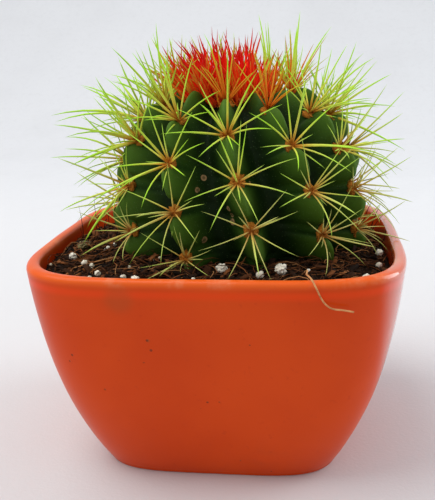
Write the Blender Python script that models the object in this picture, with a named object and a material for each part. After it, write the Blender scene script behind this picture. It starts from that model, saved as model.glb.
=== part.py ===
"""Round cactus growing in a square glazed pot.

The pot, the potting soil, the ribbed stem, its woolly crown, one cluster of spines for each areole,
a few loose grains on the soil and a dry root fibre that hangs over the rim.

Units are metres. The origin is the centre of the pot's footprint, +Z is up, the pot's sides lie along
X and Y, and -Y is the front.
"""

import math
import random

import bmesh
import bpy
import numpy as np
from mathutils import Euler, Matrix, Vector
from mathutils.bvhtree import BVHTree

OBJECT_NAME = "potted_round_cactus"

# Space kept between neighbouring pieces.
GAP = 0.0003
# Corners on each ring of the pot, the soil and the stem: six for each rib.
RIBS = 11
SIDES_PER_RIB = 6
SIDES = RIBS * SIDES_PER_RIB

# Pot: a rounded square that swells from a narrow foot to a thick round lip.
POT_WIDTH = 0.1200
POT_BASE_WIDTH = 0.0795
POT_HEIGHT = 0.0716
POT_WALL = 0.0038
POT_FLOOR = 0.0050
POT_FOOT_WIDTH = 0.0060
POT_FOOT_HEIGHT = 0.0015
POT_FOOT_ROUNDING = 0.0008
POT_DRAIN_DIAMETER = 0.0100
POT_FILLET = 0.0020
# Rings on the pot's side, as shares of its height, and inside it, from the soil's edge to the fillet.
POT_SIDE_LEVELS = (0.05, 0.14, 0.27, 0.43, 0.60, 0.78)
POT_INSIDE_LEVELS = (0.0, 0.35, 0.65, 0.87, 1.0)
# Exponents of the plan's rounded square, and of the side's swelling curve.
RIM_SQUARENESS = 4.45
BASE_SQUARENESS = 4.45
SWELL_LOWER = 1.04
SWELL_UPPER = 1.075
POT_BELLY = 0.0037
POT_BELLY_PLACE = 0.84

# Soil: a low mound around the stem that falls towards the rear right corner.
SOIL_DEPTH = 0.0040
SOIL_TILT_X = -0.020
SOIL_TILT_Y = -0.028
SOIL_MOUND = 0.080

# Stem: a ribbed globe on a buried foot. Heights are above the stem's own origin, near the soil.
STEM_MARGIN = 0.0159
STEM_OFFSET_X = 0.0046
STEM_OFFSET_Y = 0.0030
STEM_SEAT = 0.0046
STEM_LEAN_FRONT = 0.069
STEM_LEAN_RIGHT = 0.035
STEM_TOP = 0.0531
STEM_BELLY = 0.0056
STEM_ROUNDNESS = 2.8
STEM_FOOT_CURVE = 0.0260
STEM_FOOT_ROUNDNESS = 2.2
STEM_COLLAR_TOP = 0.0062
STEM_COLLAR_BOTTOM = -0.0080
STEM_FOOT_SHOULDER = -0.0118
STEM_FOOT_BOTTOM = -0.0150
GROOVE_DEPTH = 0.0068
GROOVE_DEPTH_AT_SOIL = 0.0038
CHIN_HEIGHT = 0.0028
RIB_START = -1.703
RIB_TWIST = 0.104

# Areoles: rows counted down each rib. Neighbouring ribs are staggered.
ROWS = 4
STAGGER = 3
LAST_ROW = 3.85
YOUNGEST_ROW = -0.40
FIRST_AREOLE = 0.0195
AREOLE_OVER_SOIL = 0.0005
PAD_RADIUS = 0.0019
PAD_HEIGHT = 0.0010
PAD_SIDES = 8
AREOLE_TILT = 0.20

# Spines.
RADIAL_LENGTH = 0.0180
CENTRAL_LENGTH = 0.0245
RADIAL_RISE = math.radians(24)
CENTRAL_RISE = math.radians(62)
CENTRAL_BEND = 0.05
SPINE_CLEARANCE = 0.0003
SPINE_OVERHANG = 0.0018
CHECKS_PER_SPINE = 14

# Long central spines that stand out, by (rib, place in its rib): direction and rise in degrees, length.
LONG_CENTRALS = {
    (10, 2): (242, 24, 0.0270),
    (1, 1): (312, 34, 0.0240),
    (9, 2): (231, 30, 0.0240),
}

# Crown: a cushion of wool with short upright spines, in a shallow dish at the stem's top.
CROWN_CLEARANCE = 0.0012
CROWN_DOME = 0.0060
DISH_DEPTH = 0.0030
CROWN_SPINE = 0.0120
CROWN_SPINE_INSET = 0.0012

# Open corners inside the rim, which the spines leave free.
CORNER_SPACE = 0.0120
CORNER_INSET = 0.0060
CORNER_HEIGHT = 0.0040

# Dry root fibre over the rim.
FIBRE_THICKNESS = 0.0005


def plan_radius(half_width, squareness, angle):
    """Distance from the axis to a rounded square's outline, in one direction."""
    across = abs(math.cos(angle)) ** squareness
    along = abs(math.sin(angle)) ** squareness
    return half_width * (across + along) ** (-1 / squareness)


def rise(z):
    """Height on the pot as a share of its full height."""
    return min(max(z / POT_HEIGHT, 0.0), 1.0)


def pot_half_width(z):
    """Half of the pot's outside width at a height."""
    swell = (1 - (1 - rise(z)) ** SWELL_LOWER) ** (1 / SWELL_UPPER)
    belly = POT_BELLY * math.sin(math.pi * rise(z) ** POT_BELLY_PLACE)
    return (POT_BASE_WIDTH + (POT_WIDTH - POT_BASE_WIDTH) * swell) / 2 + belly


def squareness_at(z):
    """Exponent of the pot's plan at a height."""
    return BASE_SQUARENESS + (RIM_SQUARENESS - BASE_SQUARENESS) * rise(z)


def ring_angle(index):
    """Direction of one corner of the pot's rings."""
    return 2 * math.pi * index / SIDES


def pot_ring(z, half_width, squareness):
    """One closed ring of points around the pot's axis."""
    ring = []
    for index in range(SIDES):
        radius = plan_radius(half_width, squareness, ring_angle(index))
        ring.append(Vector((radius * math.cos(ring_angle(index)), radius * math.sin(ring_angle(index)), z)))
    return ring


def loft(name, rings, closed=False):
    """A mesh object through rings with equal counts: capped at both ends, or closed into a loop."""
    mesh = bmesh.new()
    rows = [[mesh.verts.new(point) for point in ring] for ring in rings]
    count = len(rows[0])
    pairs = list(zip(rows, rows[1:] + rows[:1])) if closed else list(zip(rows, rows[1:]))
    for lower, upper in pairs:
        for i in range(count):
            j = (i + 1) % count
            mesh.faces.new((lower[i], lower[j], upper[j]))
            mesh.faces.new((lower[i], upper[j], upper[i]))
    if not closed:
        mesh.faces.new(rows[0][::-1])
        mesh.faces.new(rows[-1])
    bmesh.ops.recalc_face_normals(mesh, faces=mesh.faces)
    bmesh.ops.triangulate(mesh, faces=mesh.faces)
    return add_object(name, mesh)


def add_object(name, mesh):
    """Turns a bmesh into a smooth shaded object in the part's collection."""
    data = bpy.data.meshes.new(name)
    mesh.to_mesh(data)
    mesh.free()
    data.shade_smooth()
    data.set_sharp_from_angle(angle=math.radians(40))
    made = bpy.data.objects.new(name, data)
    bpy.data.collections[OBJECT_NAME].objects.link(made)
    return made


def material(name, color, roughness, metallic=0.0):
    """A plain Principled material."""
    made = bpy.data.materials.get(name)
    if made is None:
        made = bpy.data.materials.new(name)
        made.use_nodes = True
        shader = made.node_tree.nodes["Principled BSDF"]
        shader.inputs["Base Color"].default_value = (*color, 1.0)
        shader.inputs["Roughness"].default_value = roughness
        shader.inputs["Metallic"].default_value = metallic
    return made


def glazed_orange():
    return material("glazed_orange", (0.56, 0.10, 0.025), 0.18)


def dark_soil():
    return material("dark_soil", (0.055, 0.030, 0.018), 0.95)


def green_skin():
    return material("green_skin", (0.035, 0.090, 0.020), 0.55)


def red_wool():
    return material("red_wool", (0.70, 0.07, 0.02), 0.60)


def lime_spine():
    return material("lime_spine", (0.50, 0.62, 0.08), 0.40)


def white_grain():
    return material("white_grain", (0.75, 0.70, 0.60), 0.90)


def brown_bark():
    return material("brown_bark", (0.16, 0.12, 0.05), 0.90)


def tan_fibre():
    return material("tan_fibre", (0.45, 0.27, 0.12), 0.80)


def inner_half_width(z):
    """Half of the pot's inside width at a height."""
    return pot_half_width(z) - POT_WALL


def soil_height(x, y):
    """Height of the soil's top: a tilted plane that falls away from the stem."""
    away = math.hypot(x - STEM_OFFSET_X, y - STEM_OFFSET_Y) - stem_radius()
    level = POT_HEIGHT - SOIL_DEPTH + SOIL_TILT_X * x + SOIL_TILT_Y * y
    return level - SOIL_MOUND * max(away, 0.0)


def lowest_soil():
    """A height just under the lowest point of the soil's edge."""
    edge = pot_ring(0, inner_half_width(POT_HEIGHT), RIM_SQUARENESS)
    return min(soil_height(point.x, point.y) for point in edge) - 0.001


def inner_levels():
    """Heights of the inner wall's rings, from under the soil's edge down to the floor's fillet."""
    bottom = POT_FLOOR + POT_FILLET
    top = lowest_soil()
    return [top + (bottom - top) * share for share in POT_INSIDE_LEVELS]


def pot():
    """Hollow pot with a foot ring, a drain hole and a round lip, lofted around its own wall."""
    def side(z, inset=0.0):
        return pot_ring(z, pot_half_width(z) - inset, squareness_at(z))

    lip_radius = POT_WALL / 2
    lip_base = POT_HEIGHT - lip_radius
    lip_middle = pot_half_width(lip_base) - lip_radius
    rings = [side(0.0, POT_FOOT_ROUNDING), side(POT_FOOT_ROUNDING)]
    rings += [side(POT_HEIGHT * share) for share in POT_SIDE_LEVELS]
    for step in range(5):
        turn = math.pi * step / 4
        half_width = lip_middle + lip_radius * math.cos(turn)
        rings.append(pot_ring(lip_base + lip_radius * math.sin(turn), half_width, RIM_SQUARENESS))
    rings += [side(z, POT_WALL) for z in inner_levels()]
    rings.append(pot_ring(POT_FLOOR, inner_half_width(POT_FLOOR + POT_FILLET) - POT_FILLET, BASE_SQUARENESS))
    rings.append(pot_ring(POT_FLOOR, POT_DRAIN_DIAMETER / 2, 2))
    rings.append(pot_ring(POT_FOOT_HEIGHT, POT_DRAIN_DIAMETER / 2, 2))
    foot_inside = POT_BASE_WIDTH / 2 - POT_FOOT_WIDTH
    rings.append(pot_ring(POT_FOOT_HEIGHT, foot_inside - POT_FOOT_HEIGHT, BASE_SQUARENESS))
    rings.append(pot_ring(0.0, foot_inside, BASE_SQUARENESS))
    made = loft("pot", rings, closed=True)
    made.data.materials.append(glazed_orange())
    return made


def stem_radius():
    """Radius over the areoles: what the pot's inside leaves after the margin around the stem."""
    return POT_WIDTH / 2 - POT_WALL - STEM_MARGIN


def soil_at_front():
    """Height of the soil at the stem's front, above the stem's origin in its leaning frame."""
    front = STEM_OFFSET_Y - stem_radius()
    over_origin = soil_height(STEM_OFFSET_X, front) - (POT_HEIGHT - STEM_SEAT)
    return over_origin + STEM_LEAN_FRONT * stem_radius()


def crest_curve():
    """Points (radius, height) down a rib's crest, from the top to below the buried foot."""
    radius = stem_radius()
    points = []
    for step in range(181):
        turn = math.pi / 2 * step / 180
        across = math.sin(turn) ** (2 / STEM_ROUNDNESS)
        up = math.cos(turn) ** (2 / STEM_ROUNDNESS) if step < 180 else 0.0
        points.append((radius * across, STEM_BELLY + (STEM_TOP - STEM_BELLY) * up))
    for step in range(1, 91):
        drop = STEM_FOOT_CURVE * 0.95 * step / 90
        share = (1 - (drop / STEM_FOOT_CURVE) ** STEM_FOOT_ROUNDNESS) ** (1 / STEM_FOOT_ROUNDNESS)
        points.append((radius * share, STEM_BELLY - drop))
    return np.array(points)


class Crest:
    """The crest curve measured by its arc length from the stem's top."""

    def __init__(self):
        self.points = crest_curve()
        steps = np.hypot(*np.diff(self.points, axis=0).T)
        self.arcs = np.concatenate([[0.0], np.cumsum(steps)])
        lowest = soil_at_front() + AREOLE_OVER_SOIL
        self.pitch = (self.arc_at(lowest) - FIRST_AREOLE) / LAST_ROW

    def arc_at(self, height):
        """Arc length down to a height."""
        return float(np.interp(-height, -self.points[:, 1], self.arcs))

    def at(self, arc):
        """Radius and height at an arc length."""
        radius = float(np.interp(arc, self.arcs, self.points[:, 0]))
        height = float(np.interp(arc, self.arcs, self.points[:, 1]))
        return Vector((radius, height))

    def outward(self, arc):
        """Unit normal (radial, vertical) of the crest at an arc length."""
        step = self.at(arc + 0.001) - self.at(max(arc - 0.001, 0.0))
        return Vector((-step.y, step.x)).normalized()

    def row(self, arc):
        """Row number at an arc length, counted in areole spacings below the first areole."""
        return (arc - FIRST_AREOLE) / self.pitch

    def arc_of_row(self, row):
        """Arc length of a row number."""
        return FIRST_AREOLE + self.pitch * row


def rib_stagger(rib):
    """Share of a row by which one rib's areoles sit lower than the first rib's."""
    return (STAGGER * rib % RIBS) / RIBS


def rib_angle(rib, row):
    """Direction of a rib's crest at a row, with the ribs' slight twist."""
    return RIB_START + RIB_TWIST * row + 2 * math.pi * rib / RIBS


def chin(row, rib):
    """Bulge of the crest under each areole, as a share of its full height."""
    below = (row - rib_stagger(rib)) % 1.0
    fade = min(max((row - YOUNGEST_ROW + 0.4) / 0.8, 0.0), 1.0) * min(max(4.35 - row, 0.0) / 0.5, 1.0)
    return math.sin(math.pi * below ** 0.6) * fade


def groove(crest, arc):
    """Depth of the grooves between the ribs: shallow at the crown and the soil, none at the foot."""
    row = crest.row(arc)
    if row < 1.5:
        return GROOVE_DEPTH * (0.18 + 0.82 * max(row + 0.5, 0.0) / 2)
    collar = crest.arc_at(STEM_COLLAR_BOTTOM)
    foot = crest.arc_at(STEM_FOOT_BOTTOM)
    fade = min(max((foot - arc) / (foot - collar), 0.0), 1.0)
    return fade * (GROOVE_DEPTH + (GROOVE_DEPTH_AT_SOIL - GROOVE_DEPTH) * min((row - 1.5) / 2.5, 1.0))


def stem_point(crest, arc, side, outset=0.0):
    """A point of the stem's skin, in the stem's own frame."""
    row = crest.row(arc)
    rib, step = divmod(side, SIDES_PER_RIB)
    flank = min(step, SIDES_PER_RIB - step) * 2 / SIDES_PER_RIB
    nearest = rib + (1 if step > SIDES_PER_RIB / 2 else 0)
    swell = CHIN_HEIGHT * chin(row, nearest % RIBS) * (1 - flank ** 2) - groove(crest, arc) * flank ** 1.7
    place = crest.at(arc) + crest.outward(arc) * swell
    angle = rib_angle(0, row) + 2 * math.pi * side / SIDES
    radius = place.x + outset
    return Vector((radius * math.cos(angle), radius * math.sin(angle), place.y))


def stem_ring(crest, arc, outset=0.0):
    """One closed ring of the stem's skin."""
    return [stem_point(crest, arc, side, outset) for side in range(SIDES)]


def stem_frame():
    """Place and lean of the stem in the pot."""
    place = Matrix.Translation((STEM_OFFSET_X, STEM_OFFSET_Y, POT_HEIGHT - STEM_SEAT))
    return place @ Euler((STEM_LEAN_FRONT, STEM_LEAN_RIGHT, 0.0)).to_matrix().to_4x4()


def crown_radius(crest):
    """Radius of the crown, inside the youngest areoles."""
    youngest = min(rib_stagger(rib) - 1 for rib in range(RIBS) if rib_stagger(rib) - 1 > YOUNGEST_ROW)
    return crest.arc_of_row(youngest) - PAD_RADIUS - CROWN_CLEARANCE


def stem(crest):
    """Ribbed globe with a shallow dish on top for the crown and a rounded foot under the soil."""
    dish_edge = crown_radius(crest) + 2 * GAP
    dish_floor = STEM_TOP - DISH_DEPTH
    rings = []
    for height in (STEM_FOOT_BOTTOM, STEM_FOOT_SHOULDER, STEM_COLLAR_BOTTOM):
        rings.append(stem_ring(crest, crest.arc_at(height)))
    first = crest.arc_at(STEM_COLLAR_TOP)
    last = dish_edge + GAP
    steps = 17
    rings += [stem_ring(crest, first + (last - first) * step / steps) for step in range(steps + 1)]
    turn = rib_angle(0, crest.row(last))
    floor = []
    for side in range(SIDES):
        angle = turn + 2 * math.pi * side / SIDES
        floor.append(Vector((dish_edge * math.cos(angle), dish_edge * math.sin(angle), dish_floor)))
    rings.append(floor)
    made = loft("stem", rings)
    made.matrix_world = stem_frame()
    made.data.materials.append(green_skin())
    return made


def soil_edge(upper, lower):
    """The point between two points of the socket where it meets the soil's top."""
    low, high = 0.0, 1.0
    for _ in range(40):
        middle = (low + high) / 2
        point = upper.lerp(lower, middle)
        if point.z > soil_height(point.x, point.y):
            low = middle
        else:
            high = middle
    return upper.lerp(lower, high)


def potting_soil(crest):
    """Soil that fills the pot up to a low mound, with a socket that follows the stem's foot."""
    frame = stem_frame()
    fit = GAP + 0.0001

    def socket(height, drop=0.0):
        ring = stem_ring(crest, crest.arc_at(height), fit)
        return [frame @ (point - Vector((0, 0, drop))) for point in ring]

    mouth = [soil_edge(*pair) for pair in zip(socket(STEM_COLLAR_TOP), socket(STEM_COLLAR_BOTTOM))]
    crest_turn = rib_angle(0, crest.row(crest.arc_at(0.0)))
    shift = round(crest_turn / ring_angle(1))

    def wall(z):
        ring = pot_ring(z, inner_half_width(z) - fit, squareness_at(z))
        return [ring[(side + shift) % SIDES] for side in range(SIDES)]

    lip_inside = POT_HEIGHT - POT_WALL / 2
    lip_ring = pot_ring(lip_inside, pot_half_width(lip_inside) - POT_WALL - fit, RIM_SQUARENESS)
    upper = [lip_ring[(side + shift) % SIDES] for side in range(SIDES)]
    levels = inner_levels()
    rim = [soil_edge(*pair) for pair in zip(upper, wall(levels[0]))]
    floor_width = inner_half_width(POT_FLOOR + POT_FILLET) - POT_FILLET - fit
    floor = pot_ring(POT_FLOOR + fit, floor_width, BASE_SQUARENESS)
    rings = [socket(STEM_FOOT_BOTTOM, fit), socket(STEM_FOOT_SHOULDER), socket(STEM_COLLAR_BOTTOM), mouth]
    for share in (0.25, 0.65):
        ring = [inner.lerp(outer, share) for outer, inner in zip(rim, mouth)]
        rings.append([Vector((point.x, point.y, soil_height(point.x, point.y))) for point in ring])
    rings.append(rim)
    rings += [wall(z) for z in levels]
    rings.append([floor[(side + shift) % SIDES] for side in range(SIDES)])
    made = loft("potting_soil", rings)
    made.data.materials.append(dark_soil())
    return made


def world_tree(made):
    """A search tree over an object's triangles, in world space."""
    mesh = bmesh.new()
    mesh.from_mesh(made.data)
    mesh.transform(made.matrix_world)
    tree = BVHTree.FromBMesh(mesh)
    mesh.free()
    return tree


def crown(crest, parent):
    """Cushion of wool with short spines that stand up and lean outwards."""
    radius = crown_radius(crest)
    chance = random.Random(7)
    mesh = bmesh.new()
    bmesh.ops.create_icosphere(mesh, subdivisions=2, radius=1.0)
    bmesh.ops.rotate(mesh, verts=mesh.verts, matrix=Matrix.Rotation(0.3, 3, "Z"))
    everything = mesh.verts[:] + mesh.edges[:] + mesh.faces[:]
    bmesh.ops.bisect_plane(mesh, geom=everything, plane_co=(0, 0, 0), plane_no=(0, 0, -1), clear_outer=True)
    bmesh.ops.holes_fill(mesh, edges=[edge for edge in mesh.edges if edge.is_boundary])
    bmesh.ops.scale(mesh, verts=mesh.verts, vec=(radius, radius, CROWN_DOME))
    bmesh.ops.recalc_face_normals(mesh, faces=mesh.faces)
    tops = [face for face in mesh.faces if face.normal.z > 0.25 and face.calc_area() > 2e-6]
    bmesh.ops.inset_individual(mesh, faces=tops, thickness=CROWN_SPINE_INSET)
    for face in tops:
        middle = face.calc_center_median()
        lean = Vector((middle.x, middle.y, 0)) / radius * 0.55 + Vector((0, 0, 1))
        length = CROWN_SPINE * chance.uniform(0.75, 1.1)
        grow(mesh, face, [middle + lean.normalized() * length])
    bmesh.ops.translate(mesh, verts=mesh.verts, vec=(0, 0, STEM_TOP - DISH_DEPTH + GAP))
    bmesh.ops.triangulate(mesh, faces=mesh.faces)
    made = add_object("crown", mesh)
    made.data.materials.append(red_wool())
    made.parent = parent
    return made


def grow(mesh, face, route):
    """Draws a face out along a route and closes it to a point at the route's end."""
    for place in route[:-1]:
        face = bmesh.ops.extrude_discrete_faces(mesh, faces=[face])["faces"][0]
        middle = face.calc_center_median()
        for corner in face.verts:
            corner.co = place + (corner.co - middle) * 0.7
    face = bmesh.ops.extrude_discrete_faces(mesh, faces=[face])["faces"][0]
    bmesh.ops.pointmerge(mesh, verts=face.verts[:], merge_co=route[-1])


class SpineSpace:
    """Keeps every new spine clear of the solids and of the spines already placed."""

    def __init__(self, skin, solids):
        self.skin = world_tree(skin)
        self.trees = [world_tree(solid) for solid in solids]
        self.starts = np.zeros((0, 3))
        self.ends = np.zeros((0, 3))
        self.radii = np.zeros(0)
        self.owners = np.zeros(0, dtype=int)

    def add(self, start, end, radius, owner):
        """Remembers a placed rod."""
        self.starts = np.vstack([self.starts, start])
        self.ends = np.vstack([self.ends, end])
        self.radii = np.append(self.radii, radius)
        self.owners = np.append(self.owners, owner)

    def clear(self, start, end, radius, owner):
        """Whether a tapered rod keeps its distance from all that is there."""
        reach = POT_WIDTH / 2 + SPINE_OVERHANG
        if max(abs(end.x), abs(end.y)) > reach:
            return False
        if not self.off_corners(start, end) or not self.off_solids(start, end, radius):
            return False
        return self.off_rods(start, end, radius, owner)

    def off_corners(self, start, end):
        """Whether a rod stays out of the open corners inside the rim."""
        corner = POT_WIDTH / 2 - POT_WALL - CORNER_INSET - CORNER_SPACE
        for step in range(11):
            point = start.lerp(end, step / 10)
            if abs(point.x) > corner and abs(point.y) > corner and point.z < POT_HEIGHT + CORNER_HEIGHT:
                return False
        return True

    def off_solids(self, start, end, radius):
        """Whether a rod neither enters the solid pieces nor comes too near them."""
        along = end - start
        if any(tree.ray_cast(start, along, along.length)[0] is not None for tree in [self.skin, *self.trees]):
            return False
        for step in range(CHECKS_PER_SPINE + 1):
            share = step / CHECKS_PER_SPINE
            point = start.lerp(end, share)
            reach = radius * (1 - share) + SPINE_CLEARANCE
            if any(tree.find_nearest(point, reach)[0] is not None for tree in self.trees):
                return False
            freed = SPINE_CLEARANCE + radius * (1 - share) * min(share * 5, 1.0)
            if step > 0 and self.skin.find_nearest(point, freed)[0] is not None:
                return False
        return True

    def off_rods(self, start, end, radius, owner):
        """Whether a rod keeps its distance from the other clusters' rods."""
        others = self.owners != owner
        if not others.any():
            return True
        apart = rod_distances(np.array(start), np.array(end), self.starts[others], self.ends[others])
        return bool((apart > radius + self.radii[others] + SPINE_CLEARANCE).all())


def rod_distances(start, end, starts, ends):
    """Shortest distances from one line segment to many others."""
    along = end - start
    others = ends - starts
    offset = start - starts
    a = along @ along
    b = others @ along
    c = np.maximum((others * others).sum(1), 1e-14)
    d = offset @ along
    e = (offset * others).sum(1)
    spread = np.maximum(a * c - b * b, 1e-16)
    first = np.clip((b * e - c * d) / spread, 0, 1)
    second = np.clip((b * first + e) / c, 0, 1)
    first = np.clip((b * second - d) / a, 0, 1)
    nearest = offset + first[:, None] * along - second[:, None] * others
    return np.sqrt((nearest * nearest).sum(1))


def areoles():
    """Every areole as (rib, place in its rib, row), with the youngest first on each rib."""
    found = []
    for rib in range(RIBS):
        rows = [turn + rib_stagger(rib) for turn in range(-1, ROWS)]
        rows = [row for row in rows if YOUNGEST_ROW < row < LAST_ROW]
        found += [(rib, place, row) for place, row in enumerate(rows)]
    return found


def areole_frame(crest, tree, rib, row):
    """Frame of an areole in the stem's frame: X to the right, Y up the rib and Z outwards."""
    arc = crest.arc_of_row(row)
    angle = rib_angle(rib, row)
    spread = Matrix.Rotation(angle, 3, "Z")
    place = crest.at(arc)
    normal = crest.outward(arc)
    up_rib = Vector((-normal.y, normal.x))
    normal = (normal + up_rib * AREOLE_TILT).normalized()
    up_rib = Vector((-normal.y, normal.x))
    outward = spread @ Vector((normal.x, 0, normal.y))
    upward = spread @ Vector((up_rib.x, 0, up_rib.y))
    sideways = upward.cross(outward)
    turned = Matrix((sideways, upward, outward)).transposed().to_4x4()
    origin = spread @ Vector((place.x, 0, place.y))
    return Matrix.Translation(origin + outward * pad_lift(tree, origin, turned)) @ turned


def pad_lift(tree, origin, turned):
    """How far a pad must be moved outwards for its flat back to clear the skin."""
    back = 0.010
    lift = -back
    outward = turned.to_3x3() @ Vector((0, 0, 1))
    for share in (0.0, 0.5, 1.0):
        for step in range(2 * PAD_SIDES):
            angle = math.pi * step / PAD_SIDES
            flat = Vector((math.cos(angle), math.sin(angle), 0)) * PAD_RADIUS * share
            start = origin + turned.to_3x3() @ flat + outward * back
            distance = tree.ray_cast(start, -outward)[3]
            if distance is not None:
                lift = max(lift, back - distance)
    return lift + GAP + 0.0001


def direction(azimuth, climb):
    """Unit vector in an areole's frame from its direction around the areole and its rise above the skin."""
    return Vector((math.cos(climb) * math.cos(azimuth), math.cos(climb) * math.sin(azimuth), math.sin(climb)))


def spine_choices(azimuth, climb, length):
    """Directions and lengths for one spine, the wanted one first and the smallest changes next."""
    turns = [0, 7, -7, 14, -14, 20, -20]
    climbs = [0, 7, -6, 14, 21, 30]
    choices = []
    for shorten in (1.0, 0.88, 0.75, 0.6, 0.45, 0.3, 0.16):
        for extra in climbs:
            for turn in turns:
                choices.append((azimuth + math.radians(turn), climb + math.radians(extra), length * shorten))
    return choices


def place_spine(space, frame, root, radius, bend, owner, azimuth, climb, length):
    """Route of one spine in its areole's frame: the first choice that is clear of everything else."""
    for choice in spine_choices(azimuth, climb, length):
        tip = root + direction(*choice[:2]) * choice[2]
        route = [tip]
        if bend:
            route = [root.lerp(tip, 0.5) + Vector((0, 0, bend * choice[2])), tip]
        places = [frame @ point for point in [root] + route]
        thin = [radius * (1 - 0.4 * step) for step in range(len(route))]
        if all(space.clear(*pair, width, owner) for *pair, width in zip(places, places[1:], thin)):
            break
    for start, end, width in zip(places, places[1:], thin):
        space.add(start, end, width, owner)
    return route


def spine_cluster(space, parent, frame, rib, place, row, owner):
    """One areole: a felt pad with spines that radiate from its sides and stand on its top."""
    chance = random.Random(100 * rib + place)
    world = parent.matrix_world @ frame
    mesh = bmesh.new()
    bmesh.ops.create_cone(mesh, cap_ends=True, segments=PAD_SIDES, radius1=PAD_RADIUS,
                          radius2=PAD_RADIUS * 0.6, depth=PAD_HEIGHT)
    bmesh.ops.translate(mesh, verts=mesh.verts, vec=(0, 0, PAD_HEIGHT / 2))
    bmesh.ops.recalc_face_normals(mesh, faces=mesh.faces)
    sides = [face for face in mesh.faces if abs(face.normal.z) < 0.9]
    top = max(mesh.faces, key=lambda face: face.calc_center_median().z)
    young = min(max(1 - row, 0.0), 1.4)
    old = min(max(row - 2.6, 0.0), 1.2)
    for face in sides:
        root = face.calc_center_median()
        azimuth = math.atan2(root.y, root.x) + math.radians(chance.uniform(-8, 8))
        climb = RADIAL_RISE + math.radians(24) * young + math.radians(chance.uniform(-5, 5))
        length = RADIAL_LENGTH * (1 - 0.22 * old) * chance.uniform(0.88, 1.1)
        route = place_spine(space, world, root, PAD_RADIUS / 2, 0.0, owner, azimuth, climb, length)
        grow(mesh, face, route)
    wedges = bmesh.ops.poke(mesh, faces=[top])["faces"]
    centrals = [(270 + chance.uniform(-35, 35), 0.0), (90 + chance.uniform(-40, 40), 10.0)]
    if row < 1.2:
        centrals.append((chance.choice((10, 170)) + chance.uniform(-20, 20), 5.0))
    for order, (azimuth, lift) in enumerate(centrals):
        climb = CENTRAL_RISE + math.radians(lift + 6 * young)
        length = CENTRAL_LENGTH * (1 - 0.25 * old) * chance.uniform(0.85, 1.08)
        if order == 0 and (rib, place) in LONG_CENTRALS:
            azimuth, steep, length = LONG_CENTRALS[(rib, place)]
            climb = math.radians(steep)
        wanted = direction(math.radians(azimuth), 0.0)
        wedge = max(wedges, key=lambda face: face.calc_center_median().dot(wanted))
        wedges.remove(wedge)
        root = wedge.calc_center_median()
        turn = math.radians(azimuth)
        route = place_spine(space, world, root, PAD_RADIUS / 4, CENTRAL_BEND, owner, turn, climb, length)
        grow(mesh, wedge, route)
    bmesh.ops.triangulate(mesh, faces=mesh.faces)
    made = add_object(f"spine_cluster_{rib + 1}_{place + 1}", mesh)
    made.data.materials.append(lime_spine())
    made.parent = parent
    made.matrix_basis = frame
    return made


def spine_clusters(crest, body, solids):
    """All clusters: the pads are reserved first, then each cluster's spines are fitted in."""
    mesh = bmesh.new()
    mesh.from_mesh(body.data)
    tree = BVHTree.FromBMesh(mesh)
    mesh.free()
    space = SpineSpace(body, solids)
    found = [(*areole, areole_frame(crest, tree, areole[0], areole[2])) for areole in areoles()]
    for owner, (rib, place, row, frame) in enumerate(found):
        middle = body.matrix_world @ frame.translation
        space.add(middle, middle + Vector((0, 0, 1e-5)), PAD_RADIUS + 0.0003, owner)
    for owner, (rib, place, row, frame) in enumerate(found):
        spine_cluster(space, body, frame, rib, place, row, owner)


def soil_place(crest, angle, share):
    """A place on the soil: a direction from the stem's axis, and a share of the way to the wall."""
    reach = stem_radius()
    far = reach
    limit = inner_half_width(POT_HEIGHT)
    while far < POT_WIDTH:
        x = STEM_OFFSET_X + far * math.cos(angle)
        y = STEM_OFFSET_Y + far * math.sin(angle)
        if plan_radius(limit, RIM_SQUARENESS, math.atan2(y, x)) < math.hypot(x, y):
            break
        far += 0.0002
    away = reach + (far - reach) * share
    x = STEM_OFFSET_X + away * math.cos(angle)
    y = STEM_OFFSET_Y + away * math.sin(angle)
    return Vector((x, y, soil_height(x, y)))


def grain(name, crest, look, angle, share, size, flatness=0.8, stretch=1.0, turn=0.0, seed=0):
    """A lump that lies on the soil: a rough ball, flattened and stretched."""
    chance = random.Random(seed)
    mesh = bmesh.new()
    bmesh.ops.create_icosphere(mesh, subdivisions=1, radius=size / 2)
    for corner in mesh.verts:
        corner.co *= chance.uniform(0.8, 1.05)
    bmesh.ops.scale(mesh, verts=mesh.verts, vec=(stretch, 1.0, flatness))
    bmesh.ops.rotate(mesh, verts=mesh.verts, matrix=Matrix.Rotation(turn, 3, "Z"))
    made = add_object(name, mesh)
    place = soil_place(crest, math.radians(angle), share)
    lift = 0.0
    for corner in made.data.vertices:
        x, y = place.x + corner.co.x, place.y + corner.co.y
        lift = max(lift, soil_height(x, y) - (place.z + corner.co.z))
    made.location = place + Vector((0, 0, lift + GAP))
    made.data.materials.append(look)
    return made


def loose_grains(crest):
    """Perlite grains and bark chips that lie loose on the soil."""
    return [
        grain("perlite_front_1", crest, white_grain(), -91.5, 0.16, 0.0034, seed=1),
        grain("perlite_front_2", crest, white_grain(), -69, 0.26, 0.0038, seed=2),
        grain("perlite_left_1", crest, white_grain(), -115, 0.78, 0.0026, seed=3),
        grain("perlite_left_2", crest, white_grain(), -152, 0.68, 0.0027, seed=4),
        grain("perlite_right_1", crest, white_grain(), -46, 0.76, 0.0024, seed=5),
        grain("perlite_right_2", crest, white_grain(), -17, 0.72, 0.0026, seed=6),
        grain("bark_chip_rear", crest, brown_bark(), 41, 0.62, 0.0072, 0.6, 1.4, 0.5, seed=7),
        grain("bark_chip_left", crest, brown_bark(), -166, 0.62, 0.0048, 0.5, 1.6, 1.7, seed=8),
    ]


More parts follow.
